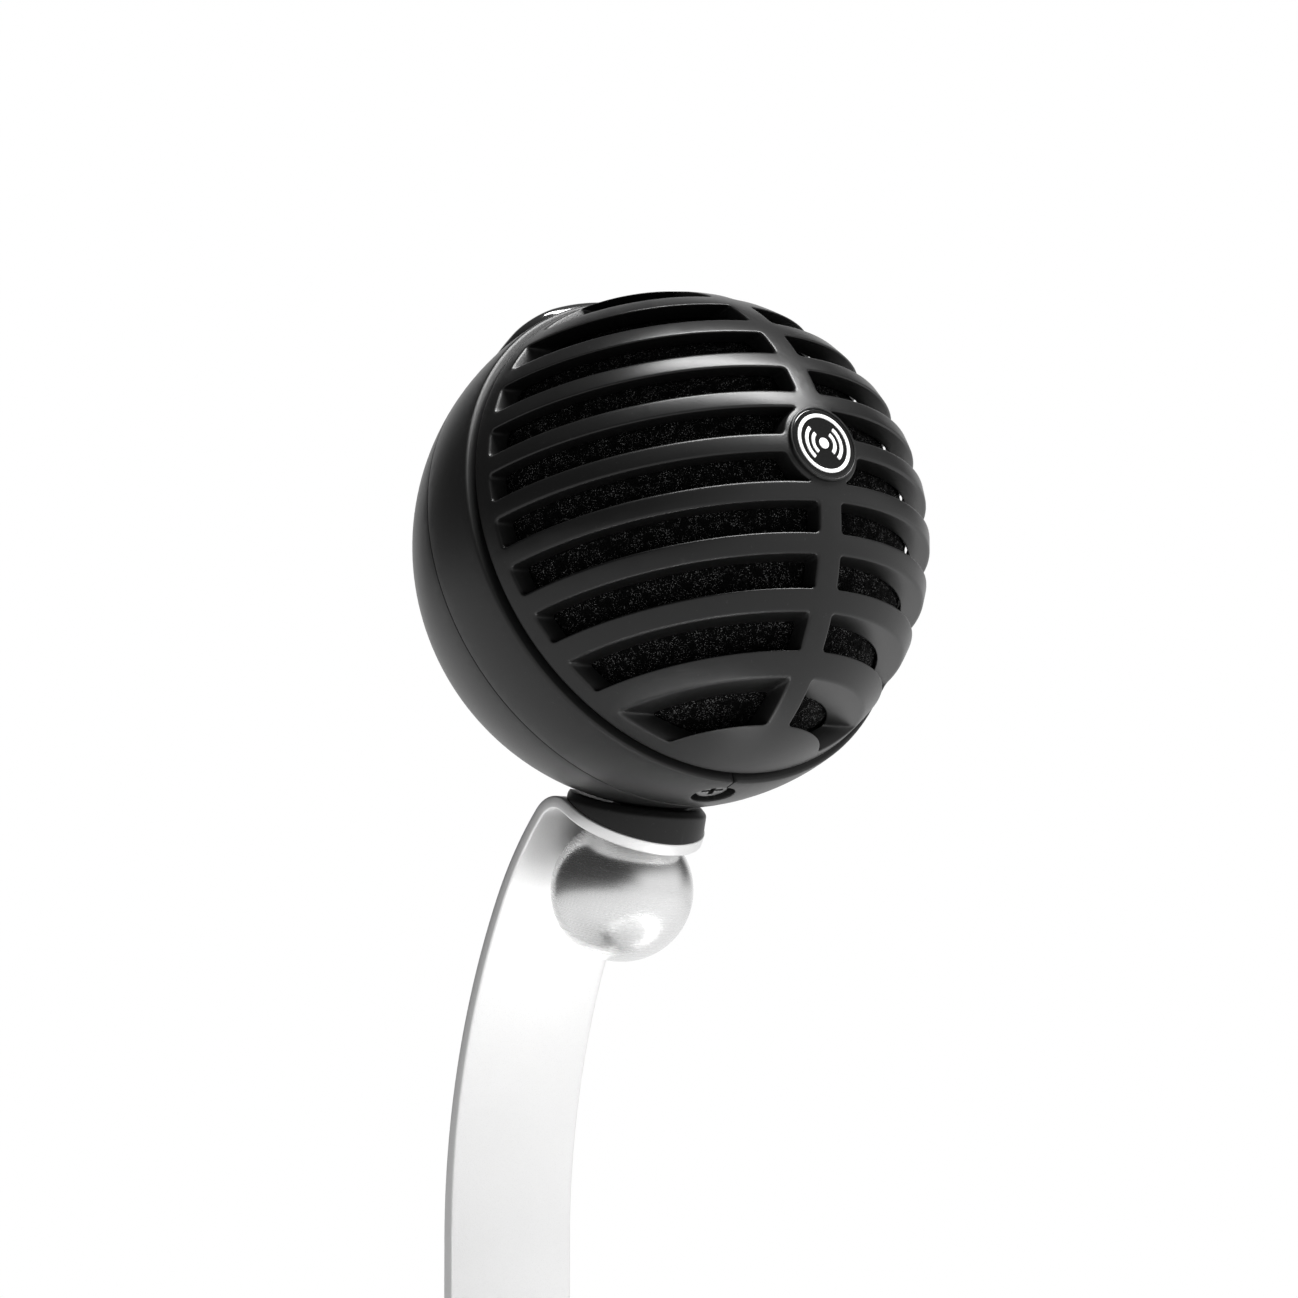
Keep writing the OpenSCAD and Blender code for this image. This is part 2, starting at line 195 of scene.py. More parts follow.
class BallMap:
    """A ball of one radius, mapped flat so that distances from the pole stay true."""
    def __init__(self, radius, pole):
        self.radius, self.axes = radius, np.array(AXES[pole], float)

    def flat(self, points):
        q = np.asarray(points, float) @ self.axes.T
        away = np.hypot(q[:, 0], q[:, 1])
        stretch = self.radius * np.arctan2(away, q[:, 2]) / np.maximum(away, 1e-9)
        return q[:, :2] * stretch[:, None]

    def solid(self, flat):
        away = np.hypot(flat[:, 0], flat[:, 1])
        angle = away / self.radius
        shrink = np.where(away > 1e-9, self.radius * np.sin(angle) / np.maximum(away, 1e-9), 1)
        local = np.column_stack([flat * shrink[:, None], self.radius * np.cos(angle)])
        return local @ self.axes

    def step(self, loop, distance):
        """The loop moved to its left by a distance, which may vary from point to point."""
        p = self.solid(loop)
        ahead = np.roll(p, -1, 0) - np.roll(p, 1, 0)
        left = unit(np.cross(p, ahead))
        return self.flat(unit(p + left * np.reshape(distance, (-1, 1))) * self.radius)

class PlateMap:
    """A flat plate: origin, and the directions of its map's two axes."""
    def __init__(self, origin, across, up):
        self.origin, self.across, self.up = (np.array(v, float) for v in (origin, across, up))

    def solid(self, flat):
        return self.origin + flat[:, :1] * self.across + flat[:, 1:] * self.up

    def step(self, loop, distance):
        ahead = unit(np.roll(loop, -1, 0) - np.roll(loop, 1, 0))
        left = np.column_stack([-ahead[:, 1], ahead[:, 0]])
        return loop + left * np.reshape(distance, (-1, 1))

# %% [markdown]
# ## Filling between outlines
# Delaunay triangulation joins the outlines to a net of spare points. A point or triangle belongs to
# the wall if a line from it crosses the outlines an odd number of times.

# %% Inside test, filling points and triangles
def inside(points, loops):
    start = np.vstack(loops)
    end = np.vstack([np.roll(l, -1, 0) for l in loops])
    odd = np.zeros(len(points), bool)
    for block in range(0, len(points), 1000):
        x, y = points[block:block + 1000, :1], points[block:block + 1000, 1:]
        crosses = (start[:, 1] > y) != (end[:, 1] > y)
        rise = np.where(end[:, 1] == start[:, 1], 1, end[:, 1] - start[:, 1])
        at = start[:, 0] + (y - start[:, 1]) * (end[:, 0] - start[:, 0]) / rise
        odd[block:block + 1000] = (crosses & (x < at)).sum(1) % 2 == 1
    return odd

def clear_of(points, loops, distance):
    edge = np.vstack(loops)
    tree = kdtree.KDTree(len(edge))
    for i, (x, y) in enumerate(edge.tolist()):
        tree.insert((x, y, 0), i)
    tree.balance()
    return np.array([tree.find((x, y, 0))[2] > distance for x, y in points.tolist()], bool)

def honeycomb(loops, spacing):
    """Filling points in a six-sided net, clear of the outlines."""
    low, high = loops[0].min(0), loops[0].max(0)
    rows = np.arange(low[1], high[1], spacing * 0.866)
    net = [np.column_stack([np.arange(low[0] + spacing / 2 * (i % 2), high[0], spacing),
                            np.full(len(np.arange(low[0] + spacing / 2 * (i % 2), high[0], spacing)), y)])
           for i, y in enumerate(rows)]
    points = np.vstack(net)
    points = points[inside(points, loops)]
    return points[clear_of(points, loops, spacing * 0.55)]

def triangles(loops, fill):
    """Triangles over the outlines' points, numbered first, and then the filling points."""
    flat, edges, start = np.vstack([*loops, fill]), [], 0
    for loop in loops:
        n = len(loop)
        edges += [(start + i, start + (i + 1) % n) for i in range(n)]
        start += n
    made = delaunay_2d_cdt([Vector(p) for p in flat.tolist()], edges, [], 0, 1e-7)
    first = [o[0] if o else -1 for o in made[3]]
    found = np.array([[first[i] for i in t] for t in made[2] if len(t) == 3])
    found = found[(found >= 0).all(1)]
    return found[inside(flat[found].mean(1), loops)]

# %% [markdown]
# ## Building a wall
# Each outline becomes a ladder of rings: the front face's edge, a rounded edge, the side wall, a
# rounded edge again and the back face's edge. Outlines keep the wall on their left, so the outer one
# runs anticlockwise and a hole runs clockwise.

# %% Build a wall with rounded edges
def wall(front, back, front_loops, back_loops, edges, back_edge=0.2, spacing=1.2, fill=None, steps=4):
    points, faces, front_rings, back_rings = [], [], [], []
    count = 0
    for a, b, edge in zip(front_loops, back_loops, edges):
        n = len(a)
        edge = np.broadcast_to(edge, n)[:, None]
        small = np.minimum(edge, back_edge)
        top, low = front.solid(a), back.solid(b)
        down = unit(low - top)
        inner_front = front.step(a, edge[:, 0])
        inner_back = back.step(b, small[:, 0])
        face_front, face_back = front.solid(inner_front), back.solid(inner_back)
        rings = []
        for k in range(steps + 1):
            t = k / steps
            rings.append((1 - t) ** 2 * face_front + 2 * t * (1 - t) * top + t * t * (top + down * edge))
        for k in range(steps + 1):
            t = k / steps
            rings.append((1 - t) ** 2 * (low - down * small) + 2 * t * (1 - t) * low + t * t * face_back)
        points += rings
        for k in range(len(rings) - 1):
            for i in range(n):
                j = (i + 1) % n
                u, w = count + k * n, count + (k + 1) * n
                faces.append((u + i, w + i, w + j, u + j))
        front_rings.append((inner_front, count))
        back_rings.append((inner_back, count + (len(rings) - 1) * n))
        count += len(rings) * n
    for skin, rings, turn, factor in ((front, front_rings, 1, 1), (back, back_rings, -1, 1.6)):
        outlines = [loop for loop, _ in rings]
        net = honeycomb(outlines, spacing * factor) if fill is None else fill
        if fill is not None:
            net = net[inside(net, outlines)]
            net = net[clear_of(net, outlines, 0.12)]
        numbers = [start + i for loop, start in rings for i in range(len(loop))]
        numbers += list(range(count, count + len(net)))
        faces += [tuple(numbers[i] for i in t[::turn]) for t in triangles(outlines, net).tolist()]
        points.append(skin.solid(net))
        count += len(net)
    return np.vstack(points), faces

print("tools for turned shapes and pierced walls are ready")

# %% [markdown]
# ## Writing shaders as sums
# A finish is a graph of nodes, and most of it is arithmetic. A small class wraps a socket so that
# Python's own signs add the Math nodes, which keeps a recipe short enough to read as a sentence.

# %% A socket that can do sums, and a finish that makes nodes
class Wire:
    def __init__(self, finish, socket):
        self.finish, self.socket = finish, socket

    def maths(self, operation, first, second=0.0):
        return self.finish.node("ShaderNodeMath", {"operation": operation}, {0: first, 1: second})

    def __add__(self, other): return self.maths("ADD", self, other)
    def __radd__(self, other): return self.maths("ADD", other, self)
    def __sub__(self, other): return self.maths("SUBTRACT", self, other)
    def __rsub__(self, other): return self.maths("SUBTRACT", other, self)
    def __mul__(self, other): return self.maths("MULTIPLY", self, other)
    def __rmul__(self, other): return self.maths("MULTIPLY", other, self)

class Graph:
    """Nodes of a material or of the world; place is the coordinate that its patterns follow."""
    def __init__(self, owner, place):
        owner.use_nodes = True
        self.tree = owner.node_tree
        self.tree.nodes.clear()
        self.place = self.node("ShaderNodeTexCoord", output=place)

    def node(self, kind, settings=None, sockets=None, output=0):
        """One node: its settings first, then the values or links of its sockets."""
        made = self.tree.nodes.new(kind)
        for key, value in (settings or {}).items():
            if key == "stops":
                for stop, (at, colour) in zip(range(len(value)), value):
                    part = made.color_ramp.elements
                    part = part[stop] if stop < len(part) else part.new(at)
                    part.position, part.color = at, colour
            else:
                setattr(made, key, value)
        for key, value in (sockets or {}).items():
            if isinstance(value, Wire):
                self.tree.links.new(value.socket, made.inputs[key])
            else:
                made.inputs[key].default_value = value
        return Wire(self, made.outputs[output])

    def between(self, low, high, low_out=0.0, high_out=1.0, value=None):
        """A smooth step of a value: low_out at low, high_out at high."""
        return self.node("ShaderNodeMapRange", {"interpolation_type": "SMOOTHSTEP"},
                         {"Value": value, "From Min": low, "From Max": high,
                          "To Min": low_out, "To Max": high_out})

class Finish(Graph):
    def __init__(self, name):
        self.material = bpy.data.materials.new(name)
        super().__init__(self.material, "Object")
        self.mm = self.node("ShaderNodeVectorMath", {"operation": "SCALE"}, {0: self.place, "Scale": 1000.0})

    def grain(self, per_mm, detail=2.0, stretch=None):
        """Smooth noise with so many lumps to the millimetre, from 0 to 1."""
        where = self.mm
        if stretch:
            where = self.node("ShaderNodeVectorMath", {"operation": "MULTIPLY"}, {0: where, 1: stretch})
        return self.node("ShaderNodeTexNoise", None,
                         {"Vector": where, "Scale": per_mm, "Detail": detail, "Roughness": 0.55})

    def cells(self, per_mm):
        """Distance to the nearest of many scattered points: pits, specks or open cells."""
        return self.node("ShaderNodeTexVoronoi", None, {"Vector": self.mm, "Scale": per_mm})

    def blend(self, amount, first, second):
        return self.node("ShaderNodeMix", {"data_type": "RGBA"},
                         {0: amount, 6: first, 7: second}, output=2)

    def bump(self, height, depth_mm, strength=1.0):
        return self.node("ShaderNodeBump", None,
                         {"Height": height, "Distance": depth_mm * MM, "Strength": strength})

    def outward_edges(self, start=0.53, full=0.62):
        """1 on outward edges, 0 elsewhere, from how sharply the surface turns."""
        point = self.node("ShaderNodeNewGeometry", output="Pointiness")
        return self.between(start, full, value=point)

    def surface(self, colour, roughness, metallic=0.0, normal=None, **fixed):
        sockets = {"Base Color": colour, "Roughness": roughness, "Metallic": metallic}
        if normal is not None:
            sockets["Normal"] = normal
        sockets.update({key.replace("_", " "): value for key, value in fixed.items()})
        shader = self.node("ShaderNodeBsdfPrincipled", None, sockets, output="BSDF")
        self.node_out = self.tree.nodes.new("ShaderNodeOutputMaterial")
        self.tree.links.new(shader.socket, self.node_out.inputs["Surface"])
        return self.material

def grey(value, warm=0.0):
    return (value * (1 + warm), value, value * (1 - warm), 1.0)

# %% [markdown]
# ## Two families of finish
# Moulded plastic and painted metal share one recipe: a base colour with faint cloudiness, a fine
# texture in the surface, a roughness that wanders a little, and paler edges, partly wear and partly a
# painted edge highlight. Metals share another: a bright reflecting base with a grain that blasting,
# turning or rolling left behind.

# %% Recipes
def moulded(name, colour, rough, texture=6.0, depth=0.012, paler_edge_amount=0.35, dust=0.15, **fixed):
    f = Finish(name)
    cloud = f.grain(0.08, 3.0)
    fine = f.grain(texture, 2.0)
    specks = f.between(0.70, 0.80, value=f.grain(2.4, 1.0))
    # Paler edges from pointiness: partly wear, partly a painted highlight along the rounded edges.
    paler_edges = f.outward_edges() * paler_edge_amount * f.between(0.35, 0.65, value=f.grain(1.1, 2.0))
    base = f.blend(cloud, colour, tuple(min(1, c * 1.35) for c in colour[:3]) + (1,))
    base = f.blend(paler_edges, base, tuple(min(1, c * 2.2 + 0.02) for c in colour[:3]) + (1,))
    base = f.blend(specks * dust * 0.25, base, grey(0.3))
    roughness = rough + (cloud - 0.5) * 0.08 + (fine - 0.5) * 0.10 - paler_edges * 0.12
    return f.surface(base, roughness, normal=f.bump(fine, depth), **fixed)

def metal(name, colour, rough, per_mm=5.0, depth=0.006, stretch=None, stain=0.08, paler_edge_amount=0.3, **fixed):
    f = Finish(name)
    fine = f.grain(per_mm, 3.0, stretch)
    cloud = f.grain(0.12, 3.0)
    paler_edges = f.outward_edges() * paler_edge_amount
    darker = tuple(c * (1 - stain * 2) for c in colour[:3]) + (1,)
    base = f.blend(cloud * 0.6 + fine * 0.4, darker, colour)
    base = f.blend(paler_edges, base, tuple(min(1, c * 1.15) for c in colour[:3]) + (1,))
    roughness = rough + (fine - 0.5) * 0.16 + (cloud - 0.5) * 0.08 - paler_edges * 0.06
    return f.surface(base, roughness, metallic=1.0, normal=f.bump(fine, depth), **fixed)

def foam_finish(name):
    """Black open-cell foam: pits painted darker than the fine walls as painted shade, and pale specks on some
    walls as painted glints.
    """
    f = Finish(name)
    cells = f.cells(3.4)
    fine = f.cells(7.0)
    web = f.between(0.28, 0.60, value=cells * 0.7 + fine * 0.5)
    # Pale specks on some walls are a painted highlight: painted glints on the black foam.
    painted_glint = f.between(0.60, 0.66, value=f.grain(6.0, 1.0)) * f.between(0.35, 0.6, value=f.grain(0.8, 1.0))
    # The pits get a darker colour than the walls: painted shade in the foam's holes.
    base = f.blend(web, grey(0.0004), grey(0.003))
    base = f.blend(painted_glint * web, base, grey(0.22))
    rough = 0.9 - painted_glint * 0.5
    return f.surface(base, rough, normal=f.bump(cells + fine * 0.4, 0.35), Specular_IOR_Level=0.06)

def blasted_finish(name):
    """Bead-blasted and clear-anodised aluminium: pale, even, with a fine sparkling grain."""
    f = Finish(name)
    beads = f.grain(7.0, 2.0)
    pits = f.between(0.0, 0.35, value=f.cells(4.5))
    cloud = f.grain(0.05, 2.0)
    paler_edges = f.outward_edges(0.54, 0.66)
    base = f.blend(beads * 0.5 + pits * 0.5, grey(0.76), grey(0.92))
    base = f.blend(cloud * 0.2, base, grey(0.78, 0.01))
    base = f.blend(paler_edges * 0.6, base, grey(0.92))
    rough = 0.44 + (beads - 0.5) * 0.12 + (cloud - 0.5) * 0.06 - paler_edges * 0.10
    return f.surface(base, rough, metallic=1.0, normal=f.bump(beads + pits * 0.6, 0.010))

def turned_finish(name):
    """Aluminium turned on a lathe and polished: faint rings round the stud's axis."""
    f = Finish(name)
    axis = STUD.to_3x3().normalized() @ Vector((0, 0, 1))
    along = f.node("ShaderNodeVectorMath", {"operation": "DOT_PRODUCT"},
                   {0: f.mm, 1: tuple(axis)}, output="Value")
    rings = f.node("ShaderNodeTexNoise", {"noise_dimensions": "1D"},
                   {"W": along, "Scale": 3.5, "Detail": 4.0, "Roughness": 0.6})
    haze = f.grain(0.35, 3.0)
    fine = f.grain(9.0, 2.0)
    base = f.blend(rings * 0.5 + haze * 0.5, grey(0.72), grey(0.86))
    rough = 0.27 + (rings - 0.5) * 0.10 + (haze - 0.5) * 0.05 + (fine - 0.5) * 0.02
    return f.surface(base, rough, metallic=1.0, normal=f.bump(rings, 0.0008))

FINISHES = {
    "strip": blasted_finish("strip"),
    "nut_metal": turned_finish("nut_metal"),
    "stud_steel": metal("stud_steel", grey(0.55), 0.32, stretch=(1, 1, 4)),
    "nylon": moulded("nylon", grey(0.75, 0.02), 0.45, paler_edge_amount=0.1, dust=0.4),
    "brass": metal("brass", (0.78, 0.57, 0.30, 1), 0.30),
    "casing": moulded("casing", grey(0.009), 0.38, texture=7.0, depth=0.010, paler_edge_amount=0.35,
                      Specular_IOR_Level=0.36),
    "grille": moulded("grille", grey(0.006), 0.34, texture=7.0, depth=0.010, paler_edge_amount=0.45,
                      Specular_IOR_Level=0.36),
    "collar_black": moulded("collar_black", grey(0.007), 0.42, texture=5.0, depth=0.014,
                            Specular_IOR_Level=0.3),
    "rubber_black": moulded("rubber_black", grey(0.018), 0.72, texture=2.5, depth=0.04, paler_edge_amount=0.5, dust=0.5),
    "screw_black": metal("screw_black", grey(0.20), 0.38, paler_edge_amount=0.8),
    "foam": foam_finish("foam"),
    "badge": moulded("badge", grey(0.006), 0.16, texture=3.0, depth=0.002, paler_edge_amount=0.2, Coat_Weight=0.4),
    "emblem": moulded("emblem", grey(0.82), 0.38, texture=5.0, depth=0.006, paler_edge_amount=0.0, dust=0.5),
    "capsule_metal": metal("capsule_metal", (0.80, 0.70, 0.48, 1), 0.28),
    "inner_plastic": moulded("inner_plastic", grey(0.03), 0.55, texture=3.0, depth=0.02),
    "lead_red": moulded("lead_red", (0.45, 0.03, 0.02, 1), 0.45, texture=3.0),
    "board": moulded("board", (0.01, 0.10, 0.035, 1), 0.30, texture=4.0, depth=0.006, paler_edge_amount=0.6),
    "socket_metal": metal("socket_metal", grey(0.62), 0.26, stretch=(1, 8, 1)),
    "socket_plastic": moulded("socket_plastic", grey(0.012), 0.38, texture=5.0),
    "island": moulded("island", grey(0.018), 0.16, texture=7.0, depth=0.003, Coat_Weight=1.0,
                      Coat_Roughness=0.06),
    "wheel_metal": metal("wheel_metal", grey(0.80), 0.24, per_mm=4.0, stretch=(6, 1, 1)),
    "button": moulded("button", grey(0.03), 0.50, texture=4.0, depth=0.02),
    "lamp": moulded("lamp", (0.55, 0.60, 0.52, 1), 0.30, texture=5.0, paler_edge_amount=0.0,
                    Transmission_Weight=0.3),
}
print("finishes:", len(FINISHES))

for part in frame["record"]["subparts"]:
    slots = NODES[part["node"]].data.materials
    slots.clear()
    slots.append(FINISHES[part["material_slot"]])

def dress(piece):
    piece.data.materials.clear()
    piece.data.materials.append(FINISHES[piece["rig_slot"]])

# %% [markdown]
# ## The ribbed grille
# The front half of the head is a moulded dome with ten rows of slots, split by an upright rib. The
# slots are drawn as loops on a ball: two level sides, an end that follows the rib or the badge, and
# an end on one flat plane behind the rim. The same loops are drawn on the inner ball for the back
# of the wall, so that every rib has level sides as if the mould had drawn straight out.

# %% Loops for the slots
SLOTS, SLOT_PITCH, SLOT_HALF, RIB_HALF = 10, 6.36, 1.9, 1.8
SLOT_PLANE, GRILLE_BACK, BADGE_R = -5.9, -3.3, 5.75
OUTER_LIMIT, INNER_LIMIT = 30.52, 29.75     # highest edge of the last slot on each face
BETWEEN_BALLS = 32                          # tells the grille's outer ball from its inner one

def path_between(a, b, count):
    return [a + (b - a) * i / count for i in range(count + 1)]

def corner_joined(curves, radius, counts, steps=4):
    """Curves end to end as one loop, each corner cut back and replaced by a small curve."""
    trimmed = []
    for curve, count in zip(curves, counts):
        curve = np.array(curve)
        length = np.concatenate([[0], np.cumsum(np.linalg.norm(np.diff(curve, axis=0), axis=1))])
        cut = min(radius, length[-1] * 0.35)
        at = np.linspace(cut, length[-1] - cut, count)
        trimmed.append(np.column_stack([np.interp(at, length, curve[:, k]) for k in range(curve.shape[1])]))
    loop = []
    for curve, after, whole in zip(trimmed, trimmed[1:] + trimmed[:1], curves):
        corner = np.array(whole[-1])
        loop += list(curve)
        for k in range(1, steps):
            t = k / steps
            loop.append((1 - t) ** 2 * curve[-1] + 2 * t * (1 - t) * corner + t * t * after[0])
    return np.array(loop)

def on_ball(radius, x, z):
    return np.array([x, -sqrt(max(radius * radius - x * x - z * z, 0)), z])

def slot_loop(radius, row, side, counts):
    middle = (row - (SLOTS - 1) / 2) * SLOT_PITCH
    limit = OUTER_LIMIT if radius > BETWEEN_BALLS else INNER_LIMIT
    low, high = max(middle - SLOT_HALF, -limit), min(middle + SLOT_HALF, limit)
    reach = radius * radius - SLOT_PLANE ** 2
    def start(z):
        return max(RIB_HALF, sqrt(max(BADGE_R ** 2 - z * z, 0)))
    def level(z, from_x, to_x):
        r = sqrt(radius * radius - z * z)
        return [on_ball(radius, r * sin(t), z) for t in path_between(asin(from_x / r), asin(to_x / r), 60)]
    end_low, end_high = sqrt(reach - low * low), sqrt(reach - high * high)
    curves = [
        [on_ball(radius, start(z), z) for z in path_between(low, high, 24)],
        level(high, start(high), end_high),
        [np.array([sqrt(reach - z * z), SLOT_PLANE, z]) for z in path_between(high, low, 24)],
        level(low, end_low, start(low)),
    ]
    loop = unit(corner_joined(curves, 0.6, counts)) * radius
    if side < 0:
        loop = (loop * (-1, 1, 1))[::-1]
    return loop

def ring_loop(radius, y, count, clockwise=False, start=0.0):
    """A level cut through a ball, as seen from the front."""
    reach = sqrt(radius * radius - y * y)
    angles = start + np.arange(count) * 2 * pi / count
    loop = np.column_stack([reach * np.cos(angles), np.full(count, y), reach * np.sin(angles)])
    return loop[::-1] if clockwise else loop

# %% [markdown]
# The upper and lower sides of a slot are long near the middle of the dome and short near its top, so
# each takes a number of points that suits its length.

# %% Build the grille
def build_grille():
    outer, inner = BallMap(GRILLE_R, "front"), BallMap(GRILLE_IN, "front")
    front, back, edges = [outer.flat(ring_loop(GRILLE_R, GRILLE_BACK, 260))], \
        [inner.flat(ring_loop(GRILLE_IN, GRILLE_BACK, 260))], [0.3]
    for row in range(SLOTS):
        middle = abs((row - (SLOTS - 1) / 2) * SLOT_PITCH)
        long_side = max(10, int(1.25 * sqrt(GRILLE_R ** 2 - middle ** 2)))
        for side in (1, -1):
            counts = (7, long_side, 8, long_side)
            front.append(outer.flat(slot_loop(GRILLE_R, row, side, counts)))
            back.append(inner.flat(slot_loop(GRILLE_IN, row, side, counts)))
            edges.append(0.42)
    return wall(outer, inner, front, back, edges, back_edge=0.3, spacing=1.25)

# %% Build the badge's seat, which stands a little proud of the dome
BADGE_FACE, SEAT_R = -GRILLE_R - 0.1, 5.15

def build_badge_seat():
    top = -BADGE_FACE
    seat = [(SEAT_R - 0.6, top - 1), (4.84, top - 1), (4.84, top - 0.02), (SEAT_R, top - 0.02),
            (SEAT_R, top - 3.4), (SEAT_R - 0.6, top - 3.4), (SEAT_R - 0.6, top - 1)]
    return shifted(spun(rounded_line(seat, (0, 0.05, 0.09, 0.14, 0.1, 0.1, 0)), 120), ALONG_Y)

grille_mesh = joined(build_grille(), build_badge_seat())
grille = make_piece("grille", grille_mesh, HEAD, "head", "grille", "front_grille")
dress(grille)

# %% [markdown]
# ## Foam behind the grille
# A dome of black open-cell foam stops puffs of breath. Its cells are fractions of a millimetre, so
# the mesh gets an uneven surface of its own and the finish adds the cells.

# %% Build the foam
FOAM_R, FOAM_IN, FOAM_EDGE = 30.15, 27.3, -4.6

def build_foam():
    last = acos(-FOAM_EDGE / FOAM_R)
    rings, around = 84, 300
    line = [(FOAM_R * sin(a), FOAM_R * cos(a)) for a in path_between(0, last, rings)]
    inner_last = acos(-FOAM_EDGE / FOAM_IN)
    line += [(FOAM_IN * sin(a), FOAM_IN * cos(a)) for a in path_between(inner_last, 0, 30)]
    points, faces = shifted(spun(line, around), ALONG_Y)
    away = np.linalg.norm(points, axis=1)
    for i in np.nonzero(away > FOAM_R - 0.01)[0]:
        p = Vector(points[i])
        lump = noise.noise(p * 0.9) * 0.10 + noise.noise(p * 2.6) * 0.12
        points[i] *= 1 + min(lump, 0.12) / FOAM_R
    return points, faces

foam = make_piece("foam_dome", build_foam(), HEAD, "head", "foam", "foam_windscreen")
dress(foam)

# %% [markdown]
# ## The casing
# Behind the grille the head is two shells: a ring with a screw underneath, and a rear cap with the
# sockets. They meet at a fine parting line. Both are cut away under the control island on top. A
# narrow slit runs from the ring's front edge to the screw.

# %% Outlines on the casing
CASE_IN, CASE_FRONT, SEAM, SEAM_GAP = 31.8, -2.5, 7.7, 0.1
ISLAND_R, ISLAND_X, ISLAND_Y0, ISLAND_Y1, ISLAND_CORNER = 35.7, 16, 0.2, 16, 5
SCREW_Y, SCREW_RECESS, SLIT = 2.2, 2.9, 0.1
PORT_Z, PLUG_X, JACK_X = -3, 7.5, -8

def lifted(radius, flat_points, sign):
    """Points given by (x, y), put on the top (+1) or the underside (-1) of a ball."""
    p = np.array(flat_points, float)
    return np.column_stack([p, sign * np.sqrt(radius * radius - (p ** 2).sum(1))])

def band(radius, y, angle_from, angle_to, count):
    """Part of a level cut, by angle from the top; positive angles lead towards +x."""
    reach = sqrt(radius * radius - y * y)
    return [(reach * sin(a), y, reach * cos(a)) for a in path_between(angle_from, angle_to, count)]

def arc_points(cx, cy, r, a0, a1, count):
    return [(cx + r * cos(radians(a)), cy + r * sin(radians(a))) for a in path_between(a0, a1, count)]

def evenly(points, gap):
    """Straight runs between points, with extra points so that none is longer than gap."""
    out = [points[0]]
    for a, b in zip(points, points[1:]):
        n = max(1, ceil(hypot(b[0] - a[0], b[1] - a[1]) / gap))
        out += [(a[0] + (b[0] - a[0]) * i / n, a[1] + (b[1] - a[1]) * i / n) for i in range(1, n + 1)]
    return out

def ring_front(radius):
    reach = sqrt(radius * radius - CASE_FRONT ** 2)
    slit = asin(SLIT / reach)
    meet = sqrt(SCREW_RECESS ** 2 - SLIT ** 2)
    around = band(radius, CASE_FRONT, pi + slit, 3 * pi - slit, 300)
    turn = degrees(atan2(SLIT, meet))
    recess = arc_points(0, SCREW_Y, SCREW_RECESS, -90 + turn, 270 - turn, 48)
    side = evenly([(SLIT, CASE_FRONT), (SLIT, SCREW_Y - meet)], 0.25)[1:-1]
    notch = side + recess + [(-x, y) for x, y in side[::-1]]
    loop = np.vstack([around, lifted(radius, notch, -1)])
    from_slit = np.abs(np.array(around)[:, 0]) + 9 * (np.array(around)[:, 2] > 0)
    edges = np.concatenate([np.minimum(0.45, 0.05 + 0.5 * from_slit), np.full(len(side), 0.05),
                            np.full(len(recess), 0.22), np.full(len(side), 0.05)])
    edges[len(around) + len(side)] = edges[len(around) + len(side) + len(recess) - 1] = 0.06
    return loop, edges

def island_side(y, part):
    """The island's outline from one side of it to the other, in front of or behind a cut at y."""
    c = ISLAND_CORNER
    if part == "front":
        corners = [(ISLAND_X, y)] + arc_points(ISLAND_X - c, ISLAND_Y0 + c, c, 0, -90, 10) \
            + arc_points(-ISLAND_X + c, ISLAND_Y0 + c, c, -90, -180, 10) + [(-ISLAND_X, y)]
    else:
        corners = [(-ISLAND_X, y)] + arc_points(-ISLAND_X + c, ISLAND_Y1 - c, c, 180, 90, 10) \
            + arc_points(ISLAND_X - c, ISLAND_Y1 - c, c, 90, 0, 10) + [(ISLAND_X, y)]
    return evenly(corners, 1.0)

def ring_seam(radius):
    reach = sqrt(radius * radius - SEAM ** 2)
    a = asin(ISLAND_X / reach)
    around = band(radius, SEAM, -a, a - 2 * pi, 260)
    return np.vstack([around, lifted(radius, island_side(SEAM, "front")[1:-1], 1)])

def cap_front(radius):
    y = SEAM + SEAM_GAP
    reach = sqrt(radius * radius - y * y)
    a = asin(ISLAND_X / reach)
    around = band(radius, y, a, 2 * pi - a, 260)
    return np.vstack([around, lifted(radius, island_side(y, "back")[1:-1], 1)])

# %% [markdown]
# The rear cap has a rounded recess for the cable, a round one for the headphones and a hole
# underneath for the stud. Each recess gets a floor plate a little way in, pierced for its socket.

# %% Build the two shells
STUD_HOLE = 3.45
def rounded_box(cx, cz, half_x, half_z, corner, count=7):
    points = []
    for sx, sz, a in ((1, 1, 0), (-1, 1, 90), (-1, -1, 180), (1, -1, 270)):
        middle = cx + sx * (half_x - corner), cz + sz * (half_z - corner)
        points += arc_points(*middle, corner, a, a + 90, count)
    return evenly(points + points[:1], 1.0)[:-1]

def behind(radius, flat_points):
    """Points given by (x, z), put on the back of a ball."""
    p = np.array(flat_points, float)
    return np.column_stack([p[:, 0], np.sqrt(radius * radius - (p ** 2).sum(1)), p[:, 1]])

CABLE_RECESS = rounded_box(PLUG_X, PORT_Z, 6.5, 4.0, 1.6)
JACK_RECESS = arc_points(JACK_X, PORT_Z, 5.2, 0, 360 - 360 / 56, 55)

